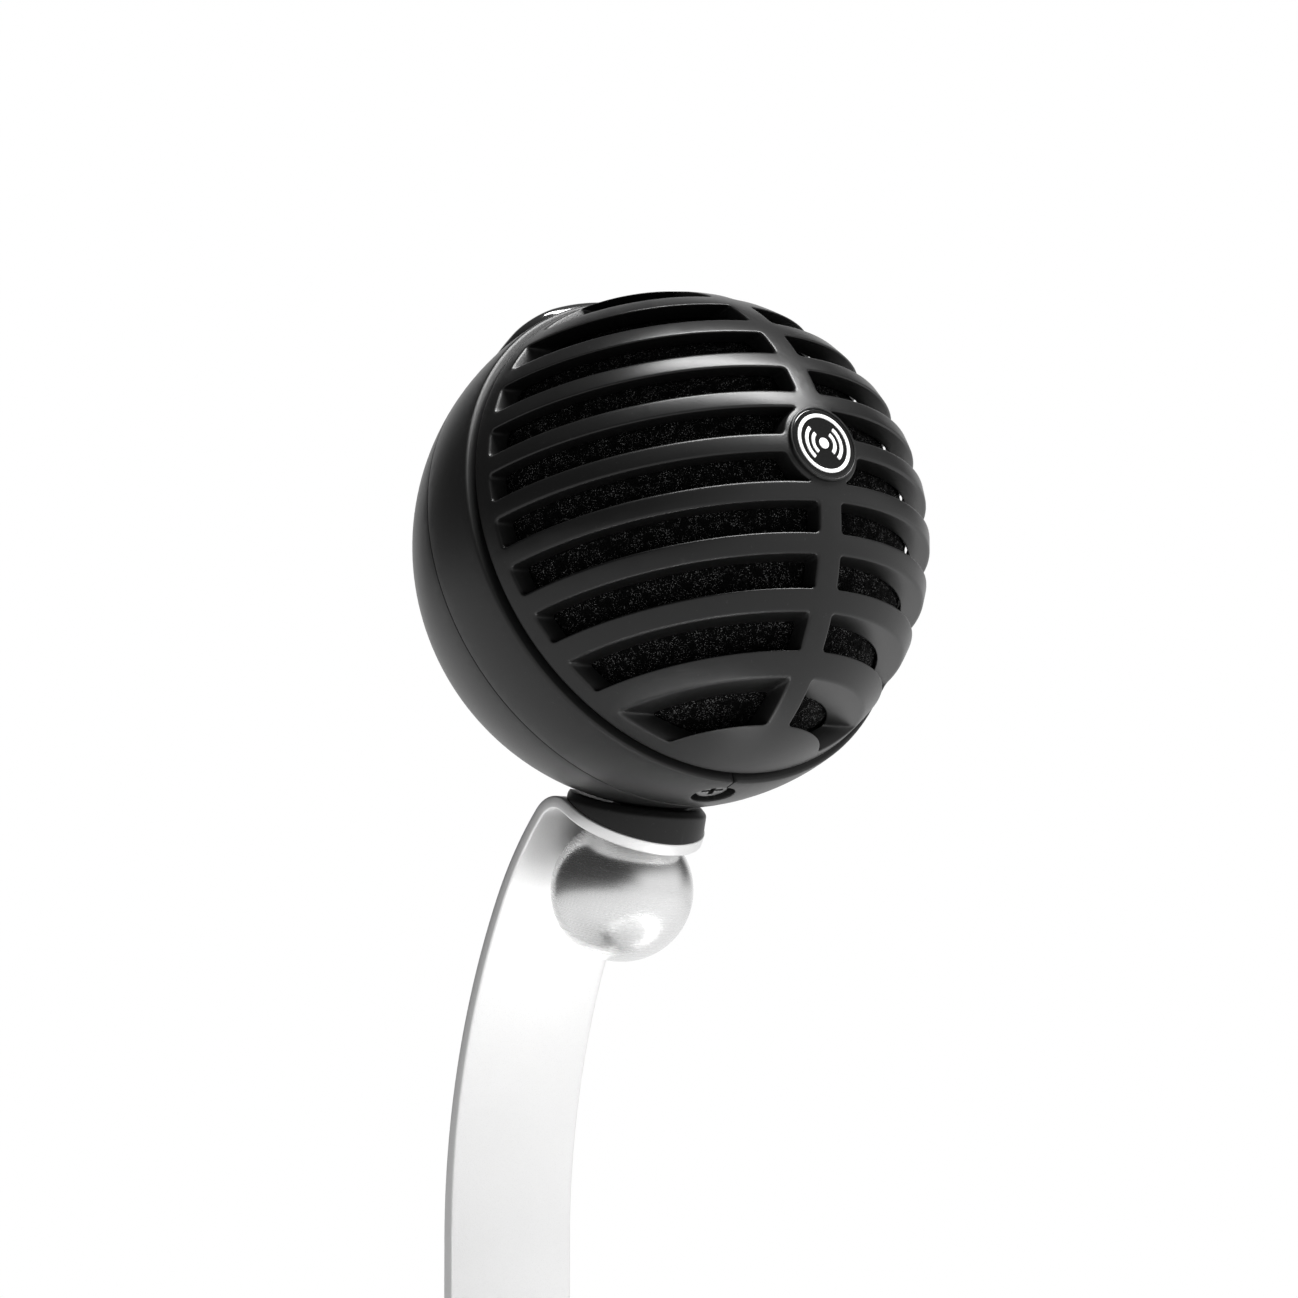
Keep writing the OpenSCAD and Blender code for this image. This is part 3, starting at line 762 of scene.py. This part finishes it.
def stud_hole(radius):
    tilt = Matrix.Rotation(radians(STUD_LEAN + HEAD_TILT), 3, "X")
    drop = sqrt(radius * radius - STUD_HOLE ** 2)
    return np.array([tilt @ Vector((x, y, -drop)) for x, y in arc_points(0, 0, STUD_HOLE, 0, 352.5, 47)])

def loop_area(flat):
    """Twice a loop's area, positive where it runs anticlockwise."""
    return np.sum(flat[:, 0] * np.roll(flat[:, 1], -1) - np.roll(flat[:, 0], -1) * flat[:, 1])

def clockwise_on(skin, loop):
    flat = skin.flat(loop)
    return flat if loop_area(flat) < 0 else flat[::-1]

def build_ring():
    outer, inner = BallMap(CASE_R, "back"), BallMap(CASE_IN, "back")
    loop, edges = ring_front(CASE_R)
    shell = wall(outer, inner, [outer.flat(loop), outer.flat(ring_seam(CASE_R))],
                 [inner.flat(ring_front(CASE_IN)[0]), inner.flat(ring_seam(CASE_IN))],
                 [edges, 0.12], back_edge=0.1, spacing=1.5)
    seat = rounded_line([(1.2, 0), (3.3, 0), (3.3, 1.2), (1.2, 1.2), (1.2, 0)], (0, 0.1, 0.1, 0.1, 0))
    place = Matrix.Translation((0, SCREW_Y, -32.2))
    return joined(shell, shifted(spun(seat, 64), place))

def build_cap():
    outer, inner = BallMap(CASE_R, "back"), BallMap(CASE_IN, "back")
    holes = [(behind(CASE_R, CABLE_RECESS), behind(CASE_IN, CABLE_RECESS), 0.45),
             (behind(CASE_R, JACK_RECESS), behind(CASE_IN, JACK_RECESS), 0.45),
             (stud_hole(CASE_R), stud_hole(CASE_IN), 0.25)]
    shell = wall(outer, inner,
                 [outer.flat(cap_front(CASE_R))] + [clockwise_on(outer, a) for a, _, _ in holes],
                 [inner.flat(cap_front(CASE_IN))] + [clockwise_on(inner, b) for _, b, _ in holes],
                 [0.12] + [edge for _, _, edge in holes], back_edge=0.15, spacing=1.5)
    plates = []
    cable_pair = rounded_box(PLUG_X, PORT_Z, 6.7, 4.2, 1.8), rounded_box(PLUG_X, PORT_Z, 4.8, 1.95, 1.9)
    jack_pair = [arc_points(JACK_X, PORT_Z, r, 0, 354, 59) for r in (5.4, 3.3)]
    for recess, hole in (cable_pair, jack_pair):
        top, low = (PlateMap((0, y, 0), (-1, 0, 0), (0, 0, 1)) for y in (31.55, 30.65))
        mirror = np.array([(-x, z) for x, z in recess]), np.array([(-x, z) for x, z in hole])
        loops = [mirror[0][::-1], mirror[1]]
        plates.append(wall(top, low, loops, loops, [0.05, 0.25], back_edge=0.1, spacing=1.2))
    return joined(shell, *plates)

ring = make_piece("casing_ring", build_ring(), HEAD, "head", "casing", "middle_shell")
cap = make_piece("casing_cap", build_cap(), HEAD, "head", "casing", "rear_shell")
dress(ring)
dress(cap)

# A rubber gasket fills the groove between the grille's rim and the casing.
GASKET_IN, GASKET_OUT, GASKET_LOW, GASKET_HIGH = 30.9, 32.5, 2.55, 3.25
gasket_line = rounded_line([(GASKET_IN, GASKET_LOW), (GASKET_OUT, GASKET_LOW), (GASKET_OUT, GASKET_HIGH),
                            (GASKET_IN, GASKET_HIGH), (GASKET_IN, GASKET_LOW)], (0, 0.15, 0.15, 0.15, 0))
gasket_mesh = shifted(spun(gasket_line, 200), ALONG_Y)
gasket = make_piece("gasket", gasket_mesh, HEAD, "head", "rubber_black", "rim_gasket")
dress(gasket)

# %% [markdown]
# ## The stand
# The stand is one strip of aluminium sheet. On the real one a flat blank is cut, its tab is slotted
# and the strip is bent over a former. The same is done here: the blank is drawn flat, and a map
# bends it. The map follows the strip's outer face through a run of arcs, each turning clockwise as
# seen from the side.

# %% A map that bends a flat blank
STRIP_W, SHEET, FOOT_D, FOOT_W, PAD_T = 19.6, 1.7, 89, 14, 1
TAB_FLAT, SLOT_R, SLOT_RUN = 2.3, 4.05, 2.831     # straight part of the tab, and its slot
HEEL_HEADING = -180
BENDS = ((5.5, 30, -43), (48, -43, -60), (90, -60, -90), (8.8, -90, HEEL_HEADING))   # radius, headings

def heading(angle):
    return np.array([cos(radians(angle)), sin(radians(angle))])

def outward(angle):
    return np.array([-sin(radians(angle)), cos(radians(angle))])

pad_low, pad_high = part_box("foot_pad")
pad_top = (pad_high.z - centre.z) / MM

class BendMap:
    """The strip's outer face, or a face so far under it; v runs from the tab's tip to the foot."""
    def __init__(self, inset):
        self.inset, self.runs = inset, []
        at = np.array([TAB_DROP * sin(radians(STUD_LEAN)), -TAB_DROP * cos(radians(STUD_LEAN))])
        at = at - STRIP_W / 2 * heading(TAB_SLOPE)
        v, length = 0.0, STRIP_W / 2 + TAB_FLAT
        self.runs.append((v, length, at, TAB_SLOPE, None))
        v, at = v + length, at + length * heading(TAB_SLOPE)
        for radius, first, last in BENDS:
            if last == HEEL_HEADING:        # a straight run reaches down to the heel
                length = at[1] - (pad_top + radius)
                self.runs.append((v, length, at, first, None))
                v, at = v + length, at + length * heading(first)
            length = radius * radians(first - last)
            middle = at - radius * outward(first)
            self.runs.append((v, length, middle, first, radius))
            v, at = v + length, middle + radius * outward(last)
        self.flat_from = v
        self.runs.append((v, 1e6, at, BENDS[-1][2], None))
        self.heel_y = at[0]

    def solid(self, flat):
        out = np.zeros((len(flat), 3))
        for start, length, at, angle, radius in self.runs:
            pick = (flat[:, 1] >= start - 1e-9) | (start == 0)
            v = flat[pick, 1] - start
            if radius is None:
                yz = at + v[:, None] * heading(angle) - self.inset * outward(angle)
            else:
                turned_to = np.radians(angle) - v / radius
                yz = at + (radius - self.inset) * np.column_stack([-np.sin(turned_to), np.cos(turned_to)])
            out[pick] = np.column_stack([flat[pick, 0], yz])
        return out

    step = PlateMap.step

# %% [markdown]
# The blank's outline is a round tab, two straight sides, a small fillet on each side and the foot
# ring. Rows of points are closer together where the strip bends more sharply, so that the bends
# stay smooth.

# %% Build the stand
def build_strip():
    outer, inner = BendMap(0), BendMap(SHEET)
    half, tab_v, foot_r = STRIP_W / 2, STRIP_W / 2, FOOT_D / 2
    foot_y = ((pad_low.y + pad_high.y) / 2 - centre.y) / MM
    foot_v = outer.flat_from + (outer.heel_y - foot_y)
    rows = [tab_v]
    for start, length, _, _, radius in outer.runs[:-1]:
        gap = 1.2 if radius is None or radius > 20 else radius * radians(4)
        first = max(start, tab_v)
        rows += list(np.linspace(first, start + length, max(2, ceil((start + length - first) / gap)) + 1)[1:])
    rows.append(foot_v - sqrt(foot_r ** 2 - half ** 2) - 2.4)
    rows = sorted(r for r in rows if r <= rows[-1])
    side = [(half, v) for v in rows]
    join = degrees(acos(half / foot_r))
    around = arc_points(0, foot_v, foot_r, -join + 3, 180 + join - 3, 200)
    meet = (half, foot_v - sqrt(foot_r ** 2 - half ** 2))
    fillet = [tuple((1 - t) ** 2 * np.array(side[-1]) + 2 * t * (1 - t) * np.array(meet)
                    + t * t * np.array(around[0])) for t in np.arange(1, 8) / 8]
    tip = arc_points(0, tab_v, half, 180, 360, 48)
    right = tip[:-1] + side + fillet
    left = [(-x, v) for x, v in (side + fillet)[::-1]]
    blank = np.array(right + around + left[:-1])
    slot = evenly(arc_points(0, tab_v, SLOT_R, 180, 0, 24)
                  + arc_points(0, tab_v - SLOT_RUN, SLOT_R, 0, -180, 24) + [(-SLOT_R, tab_v)], 0.7)[:-1]
    hole = arc_points(0, foot_v, foot_r - FOOT_W, 0, -360, 180)[:-1]
    across = np.linspace(-half + 0.9, half - 0.9, 13)
    net = [(x, v) for v in rows for x in across] + [(x, v) for v in (1.5, 3, 4.5, 6, 7.5) for x in across]
    rings = (foot_r - FOOT_W + 2.5, foot_r - FOOT_W / 2, foot_r - 2.5)
    ring_net = [(r * cos(a), foot_v + r * sin(a)) for r in rings
                for a in np.arange(110) * 2 * pi / 110]
    ring_net = [p for p in ring_net if p[1] > rows[-1] + 1]
    loops = [blank, np.array(slot), np.array(hole)]
    return wall(outer, inner, loops, loops, [0.26, 0.2, 0.26], back_edge=0.26,
                fill=np.array(net + ring_net), steps=3)

strip = make_piece("bent_strip", build_strip(), SIDE, "stand", "strip", "stand_strip")
dress(strip)

PAD_IN, PAD_OUT = 31.9, 43.0
pad_line = rounded_line([(PAD_IN, 0), (PAD_OUT, 0), (PAD_OUT, PAD_T), (PAD_IN, PAD_T), (PAD_IN, 0)],
                        (0, 0.4, 0.1, 0.1, 0), 5)
pad_place = Matrix.Translation((0, (pad_low.y + pad_high.y) / 2, pad_low.z)) @ WORLD
foot_pad = make_piece("foot_rubber", spun(pad_line, 180), pad_place, "stand", "rubber_black", "foot_pad")
dress(foot_pad)

# %% [markdown]
# ## Collar, ball nut and stud
# A black wedge sits between the sloping tab and the ball. Its top is a shallow cup, and its profile
# changes as it goes round, so it is built one angle at a time. The nut is a turned ball with a bore,
# and the stud carries a real helical thread, because it shows when the nut is undone.

# %% Build the collar
COLLAR_R, CUP_R, COLLAR_TOP, CHAMFER, BORE = 9.5, 34.5, -33.55, 0.8, 3.45

def build_collar():
    slope = sin(radians(TAB_SLOPE - STUD_LEAN)) / cos(radians(TAB_SLOPE - STUD_LEAN))
    def under(r, a):
        return -TAB_DROP + r * sin(a) * slope
    def over(r):
        return min(-sqrt(CUP_R ** 2 - r * r), COLLAR_TOP, COLLAR_TOP - (r - COLLAR_R + CHAMFER))
    angles = [radians(a) for a in path_between(-218, 38, 150)]
    points, size = [], 0
    for a in angles:
        reach = COLLAR_R
        while over(reach) - under(reach, a) < 0.12:
            reach -= 0.01
        flat_in = sqrt(CUP_R ** 2 - COLLAR_TOP ** 2)
        cup = [(r, -sqrt(CUP_R ** 2 - r * r)) for r in path_between(flat_in, BORE, 12)][1:]
        height = over(reach) - under(reach, a)
        corners = [(BORE, under(BORE, a)), (reach, under(reach, a)), (reach, over(reach)),
                   (COLLAR_R - CHAMFER, COLLAR_TOP), (flat_in, COLLAR_TOP)] + cup + [(BORE, under(BORE, a))]
        soft = min(0.3, height * 0.3)
        room = min(soft, 0.45 * hypot(reach - COLLAR_R + CHAMFER, over(reach) - COLLAR_TOP))
        sizes = [0, soft * 0.5, max(room, 0.01), max(room, 0.01), 0.15] + [0] * (len(cup) + 1)
        line = rounded_line(corners, sizes, 4)
        size = len(line)
        points += [(r * cos(a), r * sin(a), z) for r, z in line]
    faces = []
    for k in range(len(angles) - 1):
        for i in range(size - 1):
            u, w = k * size + i, (k + 1) * size + i
            faces.append((u, w, w + 1, u + 1))
    last = (len(angles) - 1) * size
    faces.append(tuple(range(size - 1)))
    faces.append(tuple(range(last + size - 2, last - 1, -1)))
    return np.array(points), faces

collar = make_piece("collar", build_collar(), STUD, "stand", "collar_black", "neck_collar")
dress(collar)

# %% Build the nut and the threaded stud
NUT_R = 9.4
nut_low, nut_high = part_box("ball_nut")
nut_middle = (nut_low + nut_high) / 2
NUT_DROP = (centre - Vector((0, nut_middle.y, nut_low.z + NUT_R * MM))).length / MM

def build_nut():
    first = asin(3.25 / NUT_R)
    ball = [(NUT_R * sin(a), NUT_R * cos(a)) for a in path_between(first + 0.02, pi, 110)]
    lip = NUT_R * cos(first)
    bore = rounded_line([(0, -1), (3.0, -1), (3.0, lip - 0.3), (3.2, lip - 0.02), ball[0]],
                        (0, 0.1, 0.1, 0.15, 0))
    return shifted(spun(list(bore) + ball, 144), Matrix.Translation((0, 0, -NUT_DROP)))

def build_stud():
    pitch, depth, major = 1.27, 0.55, 3.12
    low, high, around = -NUT_DROP - 0.9, -24.2, 40
    levels = path_between(low, high, int((high - low) / pitch * 8))
    points, faces = [], []
    for z in levels:
        fade = min(1, (z - low) / 0.8, (high - z) / 0.8)
        for i in range(around):
            turn = (z / pitch - i / around) % 1
            flank = min(1, max(0, 1.5 - abs(turn * 2 - 1) * 2))
            r = (major - depth * (1 - flank)) * (0.86 + 0.14 * fade)
            points.append((r * cos(2 * pi * i / around), r * sin(2 * pi * i / around), z))
    for k in range(len(levels) - 1):
        for i in range(around):
            j = (i + 1) % around
            faces.append((k * around + i, k * around + j, (k + 1) * around + j, (k + 1) * around + i))
    top = (len(levels) - 1) * around
    faces.append(tuple(range(around))[::-1])
    faces.append(tuple(range(top, top + around)))
    return np.array(points), faces

nut = make_piece("turned_nut", build_nut(), STUD, "nut", "nut_metal", "ball_nut")
stud = make_piece("threaded_stud", build_stud(), STUD, "nut", "stud_steel", "nut_stud")
dress(nut)
dress(stud)

# %% [markdown]
# ## The control island
# A low raised pad on top holds the volume wheel, two buttons and a row of lamps. It is a pierced
# wall like the others, with a larger rounding round its outside. The wheel is a barrel, so that it
# follows the pad's curve, and fine ridges along it give a fingertip grip.

# %% Build the island, the wheel, the buttons and the lamps
WHEEL_Y, WHEEL_R, WHEEL_HALF = 5.2, 4.5, 10
BUTTON_X, BUTTON_Y, BUTTON_R, BUTTON_FOOT = 6.5, 12.6, 1.95, 27.9
LAMP_R, LAMP_PITCH, LAMP_FOOT = 0.55, 1.5, 30.6
wheel_z = sqrt(ISLAND_R ** 2 - WHEEL_Y ** 2) + 0.8 - WHEEL_R

def circle(cx, cy, r, count):
    return arc_points(cx, cy, r, 0, 360, count)[:-1]

def island_outline():
    return island_side(8, "front")[::-1][:-1] + island_side(8, "back")[::-1][:-1]

def build_island():
    outer, inner = BallMap(ISLAND_R, "top"), BallMap(CASE_IN, "top")
    opening = rounded_box(0, WHEEL_Y, WHEEL_HALF + 0.35, 3.06, 0.9, 5)
    shapes = [(island_outline(), 1.25), (opening, 0.3)]
    shapes += [(circle(s * BUTTON_X, BUTTON_Y, BUTTON_R + 0.2, 48), 0.25) for s in (-1, 1)]
    shapes += [(circle(i * LAMP_PITCH, BUTTON_Y, LAMP_R + 0.05, 24), 0.08) for i in range(-2, 3)]
    front, back = [], []
    for k, (shape, _) in enumerate(shapes):
        for loops, skin in ((front, outer), (back, inner)):
            flat = skin.flat(lifted(skin.radius, shape, 1))
            loops.append(flat if (loop_area(flat) > 0) == (k == 0) else flat[::-1])
    return wall(outer, inner, front, back, [e for _, e in shapes], back_edge=0.1, spacing=0.9, steps=5)

def post_under_ball(radius, cx, cy, r, foot, edge, count):
    """An upright post whose top follows a ball, as moulded buttons do."""
    outer, plate = BallMap(radius, "top"), PlateMap((0, 0, foot), (1, 0, 0), (0, 1, 0))
    ring_points = circle(cx, cy, r, count)
    return wall(outer, plate, [outer.flat(lifted(radius, ring_points, 1))], [np.array(ring_points)],
                [edge], back_edge=0.05, spacing=max(0.3, r * 0.3))

def build_wheel():
    ridges, samples = 58, 6
    along = path_between(-WHEEL_HALF, WHEEL_HALF, 36)
    def barrel(x):
        rounding = 0.25 * max(0, abs(x) - WHEEL_HALF + 0.5) ** 2 * 4
        return WHEEL_R - ISLAND_R + sqrt(ISLAND_R ** 2 - x * x) - rounding
    profile = [(barrel(x), x) for x in along]
    profile = [(0.78, -WHEEL_HALF), (profile[0][0] - 0.25, -WHEEL_HALF)] + profile \
        + [(profile[-1][0] - 0.25, WHEEL_HALF), (0.78, WHEEL_HALF), (0.78, -WHEEL_HALF)]
    points, faces = spun(profile, ridges * samples)
    for i, (x, y, z) in enumerate(points):
        r = hypot(x, y)
        if r > 2.9 and abs(z) < WHEEL_HALF - 0.6:
            depth = 0.07 * (1 - cos(atan2(y, x) * ridges)) * min(1, (WHEEL_HALF - 0.6 - abs(z)) / 0.5)
            points[i, :2] *= (r - depth) / r
    place = Matrix.Translation((0, WHEEL_Y, wheel_z)) @ Matrix.Rotation(radians(90), 4, "Y")
    return shifted((points, faces), place)

island = make_piece("control_pad", build_island(), HEAD, "head", "island", "control_island")
wheel = make_piece("grip_wheel", build_wheel(), HEAD, "wheel", "wheel_metal", "volume_wheel")
caps = [post_under_ball(ISLAND_R + 0.4, x, BUTTON_Y, BUTTON_R, BUTTON_FOOT, 0.4, 48)
        for x in (-BUTTON_X, BUTTON_X)]
mode_cap = make_piece("mode_cap", caps[0], HEAD, "mode_key", "button", "mode_button")
mute_cap = make_piece("mute_cap", caps[1], HEAD, "mute_key", "button", "mute_button")
lamps = make_piece("lamp_row", joined(*[post_under_ball(ISLAND_R + 0.04, i * LAMP_PITCH, BUTTON_Y, LAMP_R,
                                                        LAMP_FOOT, 0.15, 24) for i in range(-2, 3)]),
                   HEAD, "head", "lamp", "level_lamps")
for piece in (island, wheel, mode_cap, mute_cap, lamps):
    dress(piece)

# %% [markdown]
# ## Badge, screw and sockets
# The badge is a gloss disc with a plain mark of its own: a dot between arcs inside a ring. The mark
# is a raised print with soft edges. The screw has a cross recess, and the headphone socket has a
# rolled metal edge.

# %% Build the badge
def flat_ring(r_out, r_in, low, high, soft, start=0, sweep=360, segments=96):
    """A thin raised ring or part of one; low and high are heights above the head's centre."""
    middle = ((r_out + r_in) / 2, low)
    corners = [middle, (r_out, low), (r_out, high), (r_in, high), (r_in, low), middle]
    line = rounded_line(corners, (0, 0.01, soft, soft, 0.01, 0), 3)
    return shifted(spun(line, segments, start, sweep), ALONG_Y)

FACE = -BADGE_FACE
DISC_R, DISC_T = 4.8, 0.9
disc_line = rounded_line([(0, FACE - 0.02), (2.5, FACE - 0.025), (DISC_R, FACE - 0.06),
                          (DISC_R, FACE - DISC_T), (0, FACE - DISC_T)], (0, 1.0, 0.16, 0.05, 0), 6)
disc_mesh = shifted(spun(disc_line[::-1], 120), ALONG_Y)
disc = make_piece("badge_face", disc_mesh, HEAD, "head", "badge", "badge_disc")

PRINT_LOW, PRINT_HIGH = FACE - 0.06, FACE + 0.08
DOT_R = 0.75
dot_line = rounded_line([(0, PRINT_LOW), (DOT_R, PRINT_LOW), (DOT_R, PRINT_HIGH), (0, PRINT_HIGH)],
                        (0, 0.01, 0.05, 0), 4)
mark = [flat_ring(4.1, 3.6, PRINT_LOW, PRINT_HIGH, 0.05), shifted(spun(dot_line, 48), ALONG_Y)]
for middle in (0, 180):
    for inner_r in (1.45, 2.45):
        mark.append(flat_ring(inner_r + 0.5, inner_r, PRINT_LOW, PRINT_HIGH, 0.05, middle - 48, 96, 40))
emblem = make_piece("badge_mark", joined(*mark), HEAD, "head", "emblem", "badge_emblem")

# %% Build the screw and the headphone socket's metal
def build_screw():
    low, high = -33.4, -32.2
    face = PlateMap((0, SCREW_Y, low), (1, 0, 0), (0, -1, 0))
    back = PlateMap((0, SCREW_Y, high), (1, 0, 0), (0, -1, 0))
    w, l = 0.34, 1.45               # half width and reach of the cross recess
    cross = [(l, -w), (w, -w), (w, -l), (-w, -l), (-w, -w), (-l, -w),
             (-l, w), (-w, w), (-w, l), (w, l), (w, w), (l, w)]
    turn = radians(20)
    cross = [(x * cos(turn) - y * sin(turn), x * sin(turn) + y * cos(turn))
             for x, y in evenly(cross + cross[:1], 0.2)[:-1]]
    loops = [np.array(circle(0, 0, 2.2, 64)), np.array(cross)]
    loops[1] = loops[1] if loop_area(loops[1]) < 0 else loops[1][::-1]
    head = wall(face, back, loops, loops, [0.35, 0.07], back_edge=0.05, spacing=0.35)
    floor_line = rounded_line([(0, low + 0.75), (1.5, low + 0.75), (1.5, high - 0.05), (0, high - 0.05)],
                              (0, 0.05, 0.05, 0))
    shank = rounded_line([(0, high - 0.1), (1.05, high - 0.1), (1.05, -27.8), (0.7, -27.4), (0, -27.4)],
                         (0, 0.02, 0.1, 0.1, 0))
    place = Matrix.Translation((0, SCREW_Y, 0))
    return joined(head, shifted(spun(floor_line, 32), place), shifted(spun(shank, 32), place))

screw = make_piece("cross_screw", build_screw(), HEAD, "head", "screw_black", "case_screw")
RING_IN, RING_OUT, RING_MOUTH, RING_FOOT = 1.8, 3.1, -31.38, -30.4
ring_line = rounded_line([(2.4, RING_MOUTH), (RING_OUT, RING_MOUTH), (RING_OUT, RING_FOOT),
                          (RING_IN, RING_FOOT), (RING_IN, RING_MOUTH), (2.4, RING_MOUTH)],
                         (0, 0.25, 0.05, 0.05, 0.3, 0), 4)
ring_place = Matrix.Translation((JACK_X, 0, PORT_Z)) @ ALONG_Y
socket_ring = make_piece("socket_ring", shifted(spun(ring_line[::-1], 72), ring_place),
                         HEAD, "head", "socket_metal", "headphone_collar")
for piece in (disc, emblem, screw, socket_ring):
    dress(piece)

# %% [markdown]
# ## Stage, lights and camera
# Product photographers stand dark objects on white acrylic lit from below, in front of a bright
# background, and keep the rest of the room dim. The glow from below shapes the underside, one
# wide soft light overhead draws the highlights, and the dim side lets the metal's edges read.

# %% Camera
scene = bpy.context.scene
AZIMUTH, ELEVATION, DISTANCE, VIEW_SCALE = radians(-36.5), radians(-5.6), 0.87, 0.1307
toward = Vector((sin(AZIMUTH) * cos(ELEVATION), -cos(AZIMUTH) * cos(ELEVATION), sin(ELEVATION)))
right = Vector((cos(AZIMUTH), sin(AZIMUTH), 0))
upward = toward.cross(right)
camera_data = bpy.data.cameras.new("camera")
camera = bpy.data.objects.new("camera", camera_data)
scene.collection.objects.link(camera)
SENSOR, FRAME_POINTS = 36, 1298
camera_data.sensor_width = SENSOR
camera_data.lens = SENSOR * (DISTANCE / MM / VIEW_SCALE) / FRAME_POINTS
camera_data.clip_start, camera_data.clip_end = 0.05, 20
AIM_LEFT, AIM_DOWN = 3.27, 13.33        # the camera looks a little left of and below the ball's centre
camera.location = centre + toward * DISTANCE - right * AIM_LEFT * MM - upward * AIM_DOWN * MM
camera.rotation_mode = "QUATERNION"
camera.rotation_quaternion = (-toward).to_track_quat("-Z", "Y")
scene.camera = camera
print("camera height, mm:", round(camera.location.z / MM, 1))

# %% Floor and room
scene.view_settings.view_transform = "Standard"
floor_data = bpy.data.meshes.new("floor")
F = 2.4                                 # half the floor's width
floor_data.from_pydata([(-F, -F, 0), (F, -F, 0), (F, F, 0), (-F, F, 0)], [], [(0, 1, 2, 3)])
floor = bpy.data.objects.new("floor", floor_data)
scene.collection.objects.link(floor)
acrylic = Finish("acrylic")
floor_data.materials.append(acrylic.surface(
    acrylic.blend(acrylic.grain(0.02), grey(0.14), grey(0.17)), 0.5 + acrylic.grain(0.05) * 0.1,
    normal=acrylic.bump(acrylic.grain(2.0), 0.01), Emission_Color=grey(1.0), Emission_Strength=0.60))

# %% [markdown]
# The room's brightness depends on direction: bright behind the object, low down and low at the
# front, dim above and to the left. These levels were chosen for this one camera angle.

# %% Light the room
world = bpy.data.worlds.new("room")
scene.world = world
room = Graph(world, "Generated")

def facing(direction):
    """How far a direction agrees with another, from -1 to 1."""
    return room.node("ShaderNodeVectorMath", {"operation": "DOT_PRODUCT"},
                     {0: room.place, 1: tuple(Vector(direction).normalized())}, output="Value")

backdrop = room.between(0.76, 0.95, value=facing(-toward))
height = facing((0, 0, 1))
dim_side = room.between(-0.1, 0.6, value=facing((-1.0, 0.35, 0.15)))
low_down = room.between(0.30, -0.05, value=height) * (1 - 0.90 * dim_side)
front_low = room.between(0.62, 0.22, value=height) * room.between(0.45, 0.9, value=facing((0.55, -0.83, 0)))
level = 0.05 + 0.90 * low_down.maths("MAXIMUM", low_down, front_low)
level = level.maths("MAXIMUM", level, backdrop)
glow = room.node("ShaderNodeBackground", None, {"Color": grey(1.0), "Strength": level})
room.tree.links.new(glow.socket, room.tree.nodes.new("ShaderNodeOutputWorld").inputs["Surface"])

def soft_light(name, direction, distance, width, height, radiance):
    """A rectangle light facing the ball; direction is (right, up, toward the viewer)."""
    data = bpy.data.lights.new(name, "AREA")
    data.shape, data.size, data.size_y = "RECTANGLE", width, height
    data.energy = radiance * pi * width * height
    lamp = bpy.data.objects.new(name, data)
    scene.collection.objects.link(lamp)
    away = (right * direction[0] + upward * direction[1] + toward * direction[2]).normalized()
    lamp.location = centre + away * distance
    across = (right - away * right.dot(away)).normalized()
    lamp.rotation_mode = "QUATERNION"
    lamp.rotation_quaternion = Matrix((across, away.cross(across), away)).transposed().to_quaternion()
    return lamp

overhead = soft_light("overhead", (0.30, 0.92, 0.02), 1.1, 0.95, 0.32, 34.0)
print("overhead light, W:", round(overhead.data.energy, 1))
